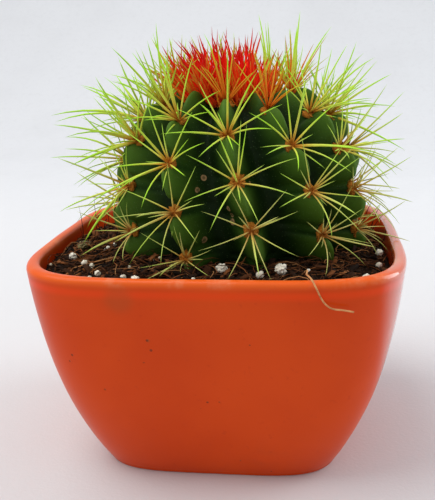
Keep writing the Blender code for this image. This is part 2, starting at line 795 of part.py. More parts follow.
def root_fibre(crest):
    """A dry root fibre that comes out of the soil, crosses the lip and hangs on the pot's outside."""
    clear = GAP + FIBRE_THICKNESS
    start = soil_place(crest, math.radians(-62), 0.35)
    half_width = pot_half_width(POT_HEIGHT - POT_WALL / 2)

    def outside(angle, z, extra=0.0):
        radius = plan_radius(pot_half_width(z) + extra, squareness_at(z), math.radians(angle))
        return Vector((radius * math.cos(math.radians(angle)), radius * math.sin(math.radians(angle)), z))

    def over_lip(angle, inset, above):
        radius = plan_radius(half_width - inset, RIM_SQUARENESS, math.radians(angle))
        turn = math.radians(angle)
        return Vector((radius * math.cos(turn), radius * math.sin(turn), POT_HEIGHT + above))

    stops = [
        start + Vector((0, 0, clear)),
        start.lerp(over_lip(-62, POT_WALL, 0.0), 0.5) + Vector((0.0006, 0, 0.0022)),
        over_lip(-62.4, POT_WALL, clear + 0.0004),
        over_lip(-62.8, POT_WALL / 2, clear + 0.0005),
        over_lip(-62.8, 0.0, clear),
        over_lip(-62.2, -0.0012, -0.0016),
        outside(-61.3, POT_HEIGHT - 0.0040, 0.0013),
        outside(-60.2, POT_HEIGHT - 0.0060, 0.0014),
        outside(-58.8, POT_HEIGHT - 0.0073, 0.0016),
        outside(-56.4, POT_HEIGHT - 0.0079, 0.0016),
        outside(-54.2, POT_HEIGHT - 0.0086, 0.0018),
    ]
    points = smooth_route(stops, 3)
    curve = bpy.data.curves.new("root_fibre", "CURVE")
    curve.dimensions = "3D"
    curve.bevel_depth = FIBRE_THICKNESS / 2
    curve.bevel_resolution = 2
    curve.use_fill_caps = True
    line = curve.splines.new("POLY")
    line.points.add(len(points) - 1)
    for handle, point in zip(line.points, points):
        handle.co = (*point, 1.0)
    made = bpy.data.objects.new("root_fibre", curve)
    bpy.data.collections[OBJECT_NAME].objects.link(made)
    made.data.materials.append(tan_fibre())
    return made


def smooth_route(stops, pieces):
    """Points on a smooth curve through the stops (Catmull-Rom)."""
    points = []
    for index in range(len(stops) - 1):
        before = stops[max(index - 1, 0)]
        start = stops[index]
        end = stops[index + 1]
        after = stops[min(index + 2, len(stops) - 1)]
        for piece in range(pieces):
            t = piece / pieces
            bend = start * 2 + (end - before) * t + (before * 2 - start * 5 + end * 4 - after) * t ** 2
            points.append((bend + (start * 3 - before - end * 3 + after) * t ** 3) / 2)
    points.append(stops[-1])
    return points


def clear_scene():
    """Removes what the scene holds and makes the part's collection."""
    for made in list(bpy.data.objects):
        bpy.data.objects.remove(made, do_unlink=True)
    collection = bpy.data.collections.new(OBJECT_NAME)
    bpy.context.scene.collection.children.link(collection)


def main():
    clear_scene()
    crest = Crest()
    holder = pot()
    body = stem(crest)
    soil = potting_soil(crest)
    top = crown(crest, body)
    grains = loose_grains(crest)
    root_fibre(crest)
    bpy.context.view_layer.update()
    spine_clusters(crest, body, [holder, soil, top, *grains])


main()
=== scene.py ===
"""Round cactus with yellow spines and a red crown, growing in an orange glazed pot. Units are metres."""

import math
import random

import bmesh
import bpy
import numpy as np
from mathutils import Euler, Matrix, Vector, noise


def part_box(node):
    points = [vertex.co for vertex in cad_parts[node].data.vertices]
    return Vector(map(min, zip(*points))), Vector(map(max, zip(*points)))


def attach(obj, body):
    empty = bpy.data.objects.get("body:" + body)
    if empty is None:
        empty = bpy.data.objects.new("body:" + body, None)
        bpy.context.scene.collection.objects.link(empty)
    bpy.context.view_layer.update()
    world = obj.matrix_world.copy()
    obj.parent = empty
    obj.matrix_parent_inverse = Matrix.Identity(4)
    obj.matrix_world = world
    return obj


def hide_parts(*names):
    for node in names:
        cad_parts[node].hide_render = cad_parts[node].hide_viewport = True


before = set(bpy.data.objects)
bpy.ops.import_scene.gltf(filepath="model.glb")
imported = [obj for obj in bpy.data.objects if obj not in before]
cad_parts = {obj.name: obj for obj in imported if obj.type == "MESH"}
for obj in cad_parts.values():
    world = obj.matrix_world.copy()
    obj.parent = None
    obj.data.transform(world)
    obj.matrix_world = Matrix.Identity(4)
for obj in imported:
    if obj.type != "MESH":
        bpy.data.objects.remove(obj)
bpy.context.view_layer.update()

# Pot: a rounded square that swells from its foot to a thick lip.
POT_WIDTH = 0.1200
POT_BASE_WIDTH = 0.0795
POT_HEIGHT = 0.0716
POT_WALL = 0.0038
POT_FLOOR = 0.0050
POT_FOOT_WIDTH = 0.0060
POT_FOOT_HEIGHT = 0.0015
POT_DRAIN = 0.0050
RIM_SQUARENESS = 4.45
BASE_SQUARENESS = 4.45
ROUND = 2.0
SWELL_LOWER = 1.04
SWELL_UPPER = 1.075
POT_BELLY = 0.0037
POT_BELLY_PLACE = 0.84
FOOT_EDGE = 0.0008
DRAIN_EDGE = 0.0006
INSIDE_BOTTOM = 0.0070
WALL_STEPS = 40
LIP_STEPS = 12
PLAN_SIDES = 220

# Soil: a tilted plane that falls away from the stem.
SOIL_DEPTH = 0.0040
SOIL_TILT_X = -0.020
SOIL_TILT_Y = -0.028
SOIL_MOUND = 0.080
SOIL_WALL_TOP = 0.0660
SOIL_WALL_BOTTOM = 0.0072
SOIL_FIT = 0.0004
SOIL_REACH = 0.0570
SOIL_HALF_WIDTH = 0.0556
FIBRE_HALF_WIDTH = 0.0553

# Stem: heights are above its own origin, near the soil.
RIBS = 11
STEM_RADIUS = 0.0403
STEM_OFFSET_X = 0.0046
STEM_OFFSET_Y = 0.0030
STEM_SEAT = 0.0046
STEM_LEAN_FRONT = 0.069
STEM_LEAN_RIGHT = 0.035
STEM_TOP = 0.0531
STEM_BELLY = 0.0056
STEM_ROUNDNESS = 2.8
STEM_FOOT_CURVE = 0.0260
STEM_FOOT_ROUNDNESS = 2.2
STEM_FOOT_BOTTOM = -0.0150
GROOVE_DEPTH = 0.0105
GROOVE_DEPTH_AT_SOIL = 0.0112
CHIN_HEIGHT = 0.0044
CREASE_DEPTH = 0.0022
RIB_START = -1.703
RIB_TWIST = 0.104
ROWS = 4
STAGGER = 3
LAST_ROW = 3.85
YOUNGEST_ROW = -0.40
FIRST_AREOLE = 0.0195
PAD_RADIUS = 0.0019
AREOLE_TILT = 0.20
CROWN_RADIUS = 0.0110
DISH_DEPTH = 0.0030
STEPS_PER_RIB = 22

# A full turn, near enough for a random draw.
FULL_TURN = 6.28

# The crown's brush grows and leans to the left.
CROWN_DRIFT = -0.0045
CROWN_LEAN = -0.26


# Shader building.


class Link:
    """A shader socket that takes part in Python arithmetic."""

    def __init__(self, look, socket):
        self.look = look
        self.socket = socket

    def math(self, operation, *values):
        return self.look.node("ShaderNodeMath", {"operation": operation}, dict(enumerate(values)))

    def __add__(self, other):
        return self.math("ADD", self, other)

    __radd__ = __add__

    def __sub__(self, other):
        return self.math("SUBTRACT", self, other)

    def __rsub__(self, other):
        return self.math("SUBTRACT", other, self)

    def __mul__(self, other):
        return self.math("MULTIPLY", self, other)

    __rmul__ = __mul__

    def smooth(self, low, high):
        """0 under low, 1 over high and a soft step between."""
        settings = {"interpolation_type": "SMOOTHSTEP"}
        return self.look.node("ShaderNodeMapRange", settings, {"Value": self, 1: low, 2: high})


class Look:
    """A procedural material: nodes are added by methods and end in one Principled shader."""

    def __init__(self, name):
        self.material = bpy.data.materials.new(name)
        self.material.use_nodes = True
        self.nodes = self.material.node_tree.nodes
        self.links = self.material.node_tree.links
        self.shader = self.nodes["Principled BSDF"]
        self.place = self.node("ShaderNodeTexCoord", output="Object")

    def node(self, kind, settings=None, sockets=None, output=0):
        """Adds one node: its settings first, then its sockets' values or links."""
        made = self.nodes.new(kind)
        for name, value in (settings or {}).items():
            if name == "stops":
                self.set_stops(made.color_ramp, value)
            else:
                setattr(made, name, value)
        for name, value in (sockets or {}).items():
            self.feed(made.inputs[name], value)
        return Link(self, made.outputs[output])

    def feed(self, socket, value):
        """Links a socket, or sets its value."""
        if isinstance(value, Link):
            self.links.new(value.socket, socket)
        else:
            socket.default_value = value

    def set_stops(self, ramp, stops):
        """Sets a colour ramp's stops: position and colour."""
        while len(ramp.elements) < len(stops):
            ramp.elements.new(0.5)
        for element, (position, color) in zip(ramp.elements, stops):
            element.position = position
            element.color = (*color, 1.0)

    def noise(self, scale, detail=3.0, rough=0.5, stretch=None):
        """Soft noise, about 0 to 1."""
        place = self.place
        if stretch:
            place = self.node("ShaderNodeMapping", None, {"Vector": place, "Scale": stretch})
        sockets = {"Vector": place, "Scale": scale, "Detail": detail, "Roughness": rough}
        return self.node("ShaderNodeTexNoise", None, sockets)

    def cells(self, scale):
        """Distance to the nearest of many scattered points."""
        return self.node("ShaderNodeTexVoronoi", None, {"Vector": self.place, "Scale": scale})

    def own(self, name):
        """A value stored on the piece's corners."""
        return self.node("ShaderNodeAttribute", {"attribute_name": name}, None, "Fac")

    def axis(self, letter):
        """One coordinate of the surface's place."""
        return self.node("ShaderNodeSeparateXYZ", None, {0: self.place}, letter)

    def near(self, point, radius):
        """1 at a point of the object, 0 beyond a radius."""
        settings = {"operation": "DISTANCE"}
        gap = self.node("ShaderNodeVectorMath", settings, {0: self.place, 1: point}, "Value")
        return 1 - gap.smooth(0.0, radius)

    def mix(self, first, second, share):
        """Blends two colours."""
        first = first if isinstance(first, Link) else (*first, 1.0)
        second = second if isinstance(second, Link) else (*second, 1.0)
        settings = {"data_type": "RGBA", "clamp_factor": True}
        return self.node("ShaderNodeMix", settings, {0: share, 6: first, 7: second}, 2)

    def ramp(self, value, stops):
        """Colours picked by a value."""
        return self.node("ShaderNodeValToRGB", {"stops": stops}, {0: value})

    def finish(self, color, roughness, height, depth, strength, shine=0.5, **coat):
        """Ends the material: what varies is linked, and the constants stay on the shader."""
        bump = self.node("ShaderNodeBump", None, {"Height": height, "Distance": depth, "Strength": strength})
        sockets = {"Base Color": color, "Roughness": roughness, "Normal": bump, "Specular IOR Level": shine}
        for name, value in {**sockets, **coat}.items():
            self.feed(self.shader.inputs[name], value)
        return self.material


# Materials.


# Marks in the glaze: place, radius and strength.
STAINS = [((-0.0238, -0.0597, 0.0658), 0.0070, 0.28), ((-0.0451, -0.0590, 0.0639), 0.0010, 0.90),
          ((-0.0161, -0.0580, 0.0530), 0.0010, 0.90), ((0.0415, -0.0590, 0.0688), 0.0011, 0.80)]


def orange_glaze():
    look = Look("orange_glaze")
    height = look.axis("Z")
    cloud = look.noise(22, 3, 0.55)
    speckle = look.noise(420, 2, 0.6)
    base = look.mix((0.64, 0.053, 0.001), (0.70, 0.065, 0.002), cloud.smooth(0.35, 0.68))
    base = look.mix(base, (0.55, 0.036, 0.003), speckle.smooth(0.62, 0.80) * 0.4)
    under = height.smooth(POT_HEIGHT - 0.0064, POT_HEIGHT - 0.0042)
    under = under * (1 - height.smooth(POT_HEIGHT - 0.0040, POT_HEIGHT - 0.0022))
    base = look.mix(base, (0.82, 0.055, 0.0005), under * 0.7)
    # Painted highlight: the top of the lip is lighter, where light falls on it. The same mask also holds the
    # dust on the lip.
    lip = height.smooth(POT_HEIGHT - 0.0028, POT_HEIGHT - 0.0006)
    base = look.mix(base, (0.88, 0.15, 0.022), lip * 0.6)
    dust = look.noise(90, 4, 0.65).smooth(0.48, 0.72) * lip
    base = look.mix(base, (0.80, 0.30, 0.16), dust * 0.6)
    stain = look.noise(14, 5, 0.6, stretch=(1.0, 1.0, 2.5)).smooth(0.60, 0.75)
    base = look.mix(base, (0.42, 0.07, 0.02), stain * 0.22)
    for place, size, share in STAINS:
        base = look.mix(base, (0.34, 0.085, 0.02), look.near(place, size).smooth(0.0, 0.8) * share)
    pits = (1 - look.cells(170).smooth(0.055, 0.085)) * look.noise(60, 1).smooth(0.58, 0.60)
    base = look.mix(base, (0.16, 0.030, 0.012), pits * 0.8)
    rough = 0.27 + cloud * 0.08 + dust * 0.30 + pits * 0.3
    relief = look.noise(48, 2) * 0.5 + look.noise(260, 2) * 0.08 - pits * 0.9
    # Painted reflection: the coat is strong only along the right edge, so that a reflection strip shows
    # there.
    sheen = look.axis("X").smooth(0.0490, 0.0545)
    coat = {"Coat Weight": 0.04 + sheen * 0.96, "Coat Roughness": 0.04, "Coat IOR": 2.0}
    return look.finish(base, rough, relief, 0.0006, 0.35, 0.10, **coat)


def green_skin():
    look = Look("green_skin")
    groove = look.own("groove")
    chin = look.own("chin")
    cloud = look.noise(60, 4, 0.6)
    fine = look.noise(900, 3, 0.6)
    flesh = look.mix((0.009, 0.029, 0.003), (0.018, 0.055, 0.005), cloud.smooth(0.3, 0.75))
    # Painted highlight: the chins under the areoles are lighter green, where light catches them.
    flesh = look.mix(flesh, (0.095, 0.200, 0.018), chin * 0.80 * (1 - groove))
    # Painted shade: the grooves between the ribs darken towards near black.
    flesh = look.mix(flesh, (0.004, 0.012, 0.002), groove.smooth(0.20, 0.80) * 0.86)
    flecks = look.cells(1100).smooth(0.10, 0.20)
    flesh = look.mix((0.16, 0.26, 0.10), flesh, flecks * 0.25 + 0.75)
    cork = look.noise(45, 5, 0.7).smooth(0.66, 0.72) * look.own("foot")
    flesh = look.mix(flesh, (0.20, 0.12, 0.06), cork * 0.7)
    for rib, row, size in SCARS:
        edge = look.near(skin_place(rib, row), size)
        ring = edge.smooth(0.05, 0.25) * (1 - edge.smooth(0.55, 0.8) * 0.6)
        flesh = look.mix(flesh, (0.36, 0.22, 0.10), ring * look.noise(700, 3).smooth(0.3, 0.55))
    rough = 0.46 + cloud * 0.18 + cork * 0.2
    relief = fine * 0.35 + look.noise(160, 3) * 0.6 + (1 - flecks) * 0.3
    return look.finish(flesh, rough, relief, 0.00025, 0.6, shine=0.10)


def areole_felt():
    look = Look("areole_felt")
    tufts = look.noise(1500, 4, 0.7)
    base = look.mix((0.28, 0.078, 0.009), (0.60, 0.23, 0.030), tufts.smooth(0.3, 0.7))
    base = look.mix(base, (0.60, 0.24, 0.04), look.own("tone") * 0.4)
    return look.finish(base, 0.9 - tufts * 0.1, tufts, 0.0006, 1.0, shine=0.02)


def yellow_spine():
    look = Look("yellow_spine")
    along = look.own("along")
    streak = look.noise(300, 3, 0.6, stretch=(1.0, 1.0, 0.2))
    dyed = look.ramp(along, [(0.0, (0.56, 0.17, 0.015)), (0.10, (0.72, 0.40, 0.05)),
                             (0.24, (0.70, 0.72, 0.09)), (0.65, (0.48, 0.86, 0.05)),
                             (1.0, (0.40, 0.80, 0.05))])
    plain = look.ramp(along, [(0.0, (0.46, 0.15, 0.03)), (0.12, (0.66, 0.40, 0.11)),
                              (0.45, (0.66, 0.64, 0.20)), (1.0, (0.52, 0.56, 0.15))])
    base = look.mix(dyed, plain, look.own("tone") + (streak - 0.5) * 0.25)
    base = look.mix(base, (0.30, 0.17, 0.07), streak.smooth(0.62, 0.8) * 0.25)
    return look.finish(base, 0.45 + streak * 0.15, streak, 0.0001, 0.5, shine=0.08)


def red_spine():
    look = Look("red_spine")
    along = look.own("along")
    streak = look.noise(400, 3, 0.6)
    red = look.ramp(along, [(0.0, (0.95, 0.080, 0.010)), (0.25, (1.0, 0.036, 0.010)),
                            (0.65, (0.95, 0.016, 0.008)), (1.0, (0.34, 0.008, 0.010))])
    amber = look.ramp(along, [(0.0, (0.62, 0.11, 0.008)), (0.30, (0.74, 0.26, 0.015)),
                              (0.60, (0.66, 0.50, 0.03)), (1.0, (0.46, 0.82, 0.04))])
    base = look.mix(red, amber, look.own("tone") + (streak - 0.5) * 0.2)
    return look.finish(base, 0.45 + streak * 0.15, streak, 0.0001, 0.4, shine=0.06)


def crown_wool():
    look = Look("crown_wool")
    tufts = look.noise(1300, 4, 0.7)
    base = look.mix((0.62, 0.07, 0.015), (0.85, 0.24, 0.05), tufts.smooth(0.3, 0.7))
    base = look.mix(base, (0.80, 0.50, 0.20), look.own("tone") * 0.5)
    return look.finish(base, 0.92 - tufts * 0.1, tufts, 0.0007, 1.0, shine=0.02)


def dark_peat():
    look = Look("dark_peat")
    lumps = look.noise(420, 5, 0.65)
    patches = look.noise(90, 3)
    base = look.mix((0.004, 0.002, 0.001), (0.038, 0.015, 0.006), lumps.smooth(0.40, 0.75))
    base = look.mix(base, (0.10, 0.042, 0.016), patches.smooth(0.55, 0.75) * 0.4)
    return look.finish(base, 0.95 - lumps * 0.1, lumps, 0.0012, 1.0, shine=0.1)


def bark_and_coir():
    look = Look("bark_and_coir")
    grain = look.noise(500, 4, 0.65, stretch=(0.3, 1.0, 1.0))
    base = look.ramp(look.own("tone"), [(0.0, (0.008, 0.004, 0.002)), (0.45, (0.030, 0.012, 0.005)),
                                        (0.72, (0.12, 0.038, 0.011)), (0.90, (0.32, 0.110, 0.032)),
                                        (1.0, (0.50, 0.24, 0.09))])
    base = look.mix(base, (0.030, 0.016, 0.010), grain.smooth(0.5, 0.75) * 0.6)
    return look.finish(base, 0.86 + grain * 0.1, grain, 0.0005, 0.9, shine=0.15)


def white_perlite():
    look = Look("white_perlite")
    pores = look.cells(1600).smooth(0.10, 0.35)
    cloud = look.noise(300, 4)
    base = look.mix((0.95, 0.90, 0.76), (0.70, 0.56, 0.34), look.own("tone"))
    base = look.mix((0.36, 0.29, 0.20), base, pores * 0.3 + 0.7)
    base = look.mix(base, (0.45, 0.35, 0.24), cloud.smooth(0.58, 0.78) * 0.4)
    return look.finish(base, 0.9 - cloud * 0.1, pores + cloud * 0.6, 0.0005, 0.8)


def olive_bark():
    look = Look("olive_bark")
    grain = look.noise(260, 5, 0.7, stretch=(0.4, 1.0, 1.0))
    base = look.mix((0.060, 0.042, 0.016), (0.26, 0.20, 0.075), grain.smooth(0.3, 0.72))
    return look.finish(base, 0.88 + grain * 0.08, grain, 0.0008, 0.9)


def dry_root():
    look = Look("dry_root")
    streak = look.noise(700, 4, 0.65)
    base = look.mix((0.42, 0.15, 0.045), (0.74, 0.38, 0.14), streak.smooth(0.3, 0.7))
    return look.finish(base, 0.75 + streak * 0.15, streak, 0.0002, 0.7)


def pale_floor():
    look = Look("pale_floor")
    weave = look.noise(700, 3, 0.6)
    cloud = look.noise(9, 2)
    # Painted shade: the floor is darker towards the front and lighter towards the back, standing in for the
    # fall of the light.
    far = look.axis("Y").smooth(-0.15, 0.7)
    base = look.mix((0.66, 0.655, 0.66), (0.83, 0.835, 0.85), far)
    base = look.mix(base, (0.72, 0.72, 0.73), cloud.smooth(0.4, 0.8) * 0.3)
    base = look.mix(base, (0.70, 0.70, 0.71), look.noise(130, 4, 0.7).smooth(0.45, 0.75) * 0.22)
    return look.finish(base, 0.9 + weave * 0.05, weave, 0.0004, 0.25)


# Mesh helpers.


def clamp(value):
    """A value held between 0 and 1."""
    return min(max(value, 0.0), 1.0)


def random_way(chance):
    """A random direction, of random length."""
    return Vector((chance.uniform(-1, 1), chance.uniform(-1, 1), chance.uniform(-1, 1)))


def deselect_all():
    """Leaves nothing selected for the next operator."""
    for made in bpy.context.selected_objects:
        made.select_set(False)


def wrapped(name, sides, rows, place):
    """A grid that is rolled round and closed: place gives a corner's place from its side and row."""
    deselect_all()
    bpy.ops.mesh.primitive_grid_add(x_subdivisions=sides, y_subdivisions=rows, size=1)
    made = bpy.context.object
    made.name = name
    for corner in made.data.vertices:
        side = round((corner.co.x + 0.5) * sides) % sides
        row = round((corner.co.y + 0.5) * rows)
        corner.co = place(side, row)
    bpy.ops.object.mode_set(mode="EDIT")
    bpy.ops.mesh.select_all(action="SELECT")
    bpy.ops.mesh.remove_doubles(threshold=1e-7)
    bpy.ops.mesh.normals_make_consistent(inside=False)
    bpy.ops.object.mode_set(mode="OBJECT")
    bpy.ops.object.shade_smooth()
    return made


def settle(made, look, slot, *nodes):
    """Gives a finished piece its materials and its body, and hides the nodes that it replaces; the slot is
    not used.
    """
    for one in look if isinstance(look, list) else [look]:
        made.data.materials.append(one)
    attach(made, "root")
    if nodes:
        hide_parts(*nodes)


def store(made, name, values):
    """Keeps one value for each corner of a piece."""
    kept = made.data.attributes.new(name, "FLOAT", "POINT")
    kept.data.foreach_set("value", np.array(values, dtype=np.float32))


def corners(model):
    """Places of a model's corners."""
    found = np.zeros(len(model.vertices) * 3, dtype=np.float32)
    model.vertices.foreach_get("co", found)
    return found.reshape(-1, 3).astype(float)


def bundle(name, copies):
    """One piece from many reshaped copies: each is (model, places of its corners, tone, look's number)."""
    places, faces, looks, tones, alongs = [], [], [], [], []
    count = 0
    for model, spots, tone, number in copies:
        places.append(spots)
        faces += [[corner + count for corner in face.vertices] for face in model.polygons]
        looks += [number] * len(model.polygons)
        tones.append(np.full(len(spots), tone))
        alongs.append(np.clip(corners(model)[:, 2], 0, 1))
        count += len(spots)
    mesh = bpy.data.meshes.new(name)
    mesh.from_pydata(np.vstack(places).tolist(), [], faces)
    mesh.polygons.foreach_set("material_index", looks)
    mesh.shade_smooth()
    made = bpy.data.objects.new(name, mesh)
    bpy.context.scene.collection.objects.link(made)
    store(made, "tone", np.concatenate(tones))
    store(made, "along", np.concatenate(alongs))
    return made


def take_mesh(made):
    """Keeps a model's mesh and removes its object."""
    mesh = made.data
    bpy.data.objects.remove(made)
    return mesh


# Models that repeat.


def rod_model(sides, widths):
    """A rod of unit length along Z, drawn up step by step and closed to a point."""
    deselect_all()
    bpy.ops.mesh.primitive_circle_add(vertices=sides, radius=1.0, fill_type="NGON")
    made = bpy.context.object
    bpy.ops.object.mode_set(mode="EDIT")
    bpy.ops.mesh.select_all(action="SELECT")
    bpy.ops.mesh.flip_normals()
    step = 1 / len(widths)
    width = 1.0
    for next_width in widths:
        bpy.ops.mesh.extrude_region_move(TRANSFORM_OT_translate={"value": (0, 0, step)})
        bpy.ops.transform.resize(value=(next_width / width, next_width / width, 1))
        width = next_width
    bpy.ops.mesh.merge(type="CENTER")
    bpy.ops.mesh.select_all(action="SELECT")
    bpy.ops.mesh.normals_make_consistent(inside=False)
    bpy.ops.object.mode_set(mode="OBJECT")
    return take_mesh(made)


def lump_model(detail, roughness, seed, size=(1, 1, 1), fine=1.6):
    """A rough ball, hammered out of round."""
    deselect_all()
    bpy.ops.mesh.primitive_ico_sphere_add(subdivisions=detail, radius=0.5)
    made = bpy.context.object
    bpy.ops.object.mode_set(mode="EDIT")
    bpy.ops.mesh.select_all(action="SELECT")
    bpy.ops.transform.resize(value=size)
    bpy.ops.object.mode_set(mode="OBJECT")
    shift = Vector((seed * 7.3, seed * 3.1, seed * 5.7))
    for corner in made.data.vertices:
        swell = noise.fractal(corner.co * fine * 2 + shift, 1.0, 2.0, 3)
        corner.co *= 1 + roughness * swell
    return take_mesh(made)


def chip_model(seed):
    """A splinter of bark: a slab broken along its sides."""
    deselect_all()
    chance = random.Random(seed)
    bpy.ops.mesh.primitive_cube_add(size=1)
    made = bpy.context.object
    bpy.ops.object.mode_set(mode="EDIT")
    bpy.ops.mesh.select_all(action="SELECT")
    bpy.ops.mesh.subdivide(number_cuts=1)
    bpy.ops.transform.resize(value=(1.0, chance.uniform(0.22, 0.55), chance.uniform(0.10, 0.24)))
    bpy.ops.object.mode_set(mode="OBJECT")
    for corner in made.data.vertices:
        corner.co += random_way(chance) * 0.07
        corner.co.x *= 1 - 0.35 * abs(corner.co.y)
    return take_mesh(made)


def bent_rod(model, root, middle, tip, thickness, flat=1.0):
    """A rod model laid along a curve from root to tip that bows towards middle."""
    shape = corners(model)
    bow = middle * 2 - (root + tip) * 0.5
    across = (tip - root).cross(Vector((0.31, 0.52, 0.79))).normalized()
    spots = []
    for x, y, share in shape:
        point = root * (1 - share) ** 2 + bow * (2 * share * (1 - share)) + tip * share ** 2
        way = ((bow - root) * (1 - share) + (tip - bow) * share).normalized()
        side = way.cross(across).normalized()
        other = way.cross(side)
        spots.append(point + side * x * thickness + other * y * thickness * flat)
    return np.array(spots)


def laid(model, place, size, turn):
    """A model's corners scaled, turned and set down at a place."""
    whole = np.array(turn.to_matrix()) @ (corners(model) * size).T
    return whole.T + np.array(place)


# Pot.


def plan_radius(half_width, squareness, angle):
    """Distance from the axis to a rounded square's outline, in one direction."""
    across = abs(math.cos(angle)) ** squareness
    along = abs(math.sin(angle)) ** squareness
    return half_width * (across + along) ** (-1 / squareness)


def pot_half_width(z):
    """Half of the pot's outside width at a height."""
    rise = clamp(z / POT_HEIGHT)
    swell = (1 - (1 - rise) ** SWELL_LOWER) ** (1 / SWELL_UPPER)
    belly = POT_BELLY * math.sin(math.pi * rise ** POT_BELLY_PLACE)
    return (POT_BASE_WIDTH + (POT_WIDTH - POT_BASE_WIDTH) * swell) / 2 + belly


def squareness_at(z):
    """Exponent of the pot's plan at a height."""
    rise = clamp(z / POT_HEIGHT)
    return BASE_SQUARENESS + (RIM_SQUARENESS - BASE_SQUARENESS) * rise


def pot_profile():
    """The wall's outline as (height, half width, squareness), round the foot, lip, inside and drain."""
    profile = []
    for step in range(5):
        turn = math.pi / 2 * step / 4
        z = FOOT_EDGE * (1 - math.cos(turn))
        profile.append((z, pot_half_width(FOOT_EDGE) - FOOT_EDGE * (1 - math.sin(turn)), BASE_SQUARENESS))
    for step in range(1, WALL_STEPS):
        z = FOOT_EDGE + (POT_HEIGHT - POT_WALL / 2 - FOOT_EDGE) * (step / WALL_STEPS) ** 1.25
        profile.append((z, pot_half_width(z), squareness_at(z)))
    radius = POT_WALL / 2
    middle = pot_half_width(POT_HEIGHT - radius) - radius
    for step in range(LIP_STEPS + 1):
        turn = math.pi * step / LIP_STEPS
        flat = math.copysign(abs(math.cos(turn)) ** 0.8, math.cos(turn))
        z = POT_HEIGHT - radius + radius * math.sin(turn) ** 0.8
        profile.append((z, middle + radius * flat, RIM_SQUARENESS))
    for step in range(1, LIP_STEPS + 1):
        z = POT_HEIGHT - radius - (POT_HEIGHT - radius - INSIDE_BOTTOM) * step / LIP_STEPS
        profile.append((z, pot_half_width(z) - POT_WALL, squareness_at(z)))
    floor = pot_half_width(INSIDE_BOTTOM) - POT_WALL - 0.002
    inside = POT_BASE_WIDTH / 2 - POT_FOOT_WIDTH
    return profile + [
        (POT_FLOOR + 0.0005, floor + 0.0010, BASE_SQUARENESS),
        (POT_FLOOR, floor, BASE_SQUARENESS),
        (POT_FLOOR, POT_DRAIN + DRAIN_EDGE, ROUND),
        (POT_FLOOR - DRAIN_EDGE, POT_DRAIN, ROUND),
        (POT_FOOT_HEIGHT + DRAIN_EDGE, POT_DRAIN, ROUND),
        (POT_FOOT_HEIGHT, POT_DRAIN + DRAIN_EDGE, ROUND),
        (POT_FOOT_HEIGHT, inside - 0.0020, BASE_SQUARENESS),
        (0.0004, inside - 0.0004, BASE_SQUARENESS),
        (0.0, inside + 0.0004, BASE_SQUARENESS),
    ]


def make_pot():
    """The glazed pot, with the faint unevenness of a thrown and pressed wall."""
    profile = pot_profile()

    def place(side, row):
        z, half_width, squareness = profile[row % len(profile)]
        angle = 2 * math.pi * side / PLAN_SIDES
        radius = plan_radius(half_width, squareness, angle)
        point = Vector((radius * math.cos(angle), radius * math.sin(angle), z))
        wave = noise.noise(point * 38) * 0.00022 * min(z / 0.01, 1.0)
        return point * (1 + wave / max(radius, 0.02))

    made = wrapped("glazed_pot", PLAN_SIDES, len(profile), place)
    settle(made, orange_glaze(), "pot_glaze", "pot")


# Stem.


def soil_height(x, y):
    """Height of the soil's top."""
    away = math.hypot(x - STEM_OFFSET_X, y - STEM_OFFSET_Y) - STEM_RADIUS
    level = POT_HEIGHT - SOIL_DEPTH + SOIL_TILT_X * x + SOIL_TILT_Y * y
    return level - SOIL_MOUND * max(away, 0.0)


def crest_curve():
    """Points (radius, height) down a rib's crest, from the top to below the buried foot."""
    points = []
    for step in range(181):
        turn = math.pi / 2 * step / 180
        across = math.sin(turn) ** (2 / STEM_ROUNDNESS)
        up = math.cos(turn) ** (2 / STEM_ROUNDNESS) if step < 180 else 0.0
        points.append((STEM_RADIUS * across, STEM_BELLY + (STEM_TOP - STEM_BELLY) * up))
    for step in range(1, 91):
        drop = STEM_FOOT_CURVE * 0.95 * step / 90
        share = (1 - (drop / STEM_FOOT_CURVE) ** STEM_FOOT_ROUNDNESS) ** (1 / STEM_FOOT_ROUNDNESS)
        points.append((STEM_RADIUS * share, STEM_BELLY - drop))
    return np.array(points)


CREST = crest_curve()
ARCS = np.concatenate([[0.0], np.cumsum(np.hypot(*np.diff(CREST, axis=0).T))])
STEM_FRAME = Matrix.Translation((STEM_OFFSET_X, STEM_OFFSET_Y, POT_HEIGHT - STEM_SEAT)) @ Euler(
    (STEM_LEAN_FRONT, STEM_LEAN_RIGHT, 0.0)).to_matrix().to_4x4()


def arc_at(height):
    """Arc length down the crest to a height."""
    return float(np.interp(-height, -CREST[:, 1], ARCS))


def lowest_areole():
    """Height of the lowest areoles: just over the soil at the stem's front."""
    over_origin = soil_height(STEM_OFFSET_X, STEM_OFFSET_Y - STEM_RADIUS) - (POT_HEIGHT - STEM_SEAT)
    return over_origin + STEM_LEAN_FRONT * STEM_RADIUS + 0.0005


PITCH = (arc_at(lowest_areole()) - FIRST_AREOLE) / LAST_ROW


def crest_at(arc):
    """Radius and height at an arc length."""
    return Vector((float(np.interp(arc, ARCS, CREST[:, 0])), float(np.interp(arc, ARCS, CREST[:, 1]))))


def outward_at(arc):
    """Unit normal (radial, vertical) of the crest at an arc length."""
    step = crest_at(arc + 0.001) - crest_at(max(arc - 0.001, 0.0))
    return Vector((-step.y, step.x)).normalized()


def rib_stagger(rib):
    """Share of a row by which a rib's areoles sit lower than the first rib's."""
    return (STAGGER * rib % RIBS) / RIBS


def rib_angle(rib, row):
    """Direction of a rib's crest at a row."""
    return RIB_START + RIB_TWIST * row + 2 * math.pi * rib / RIBS


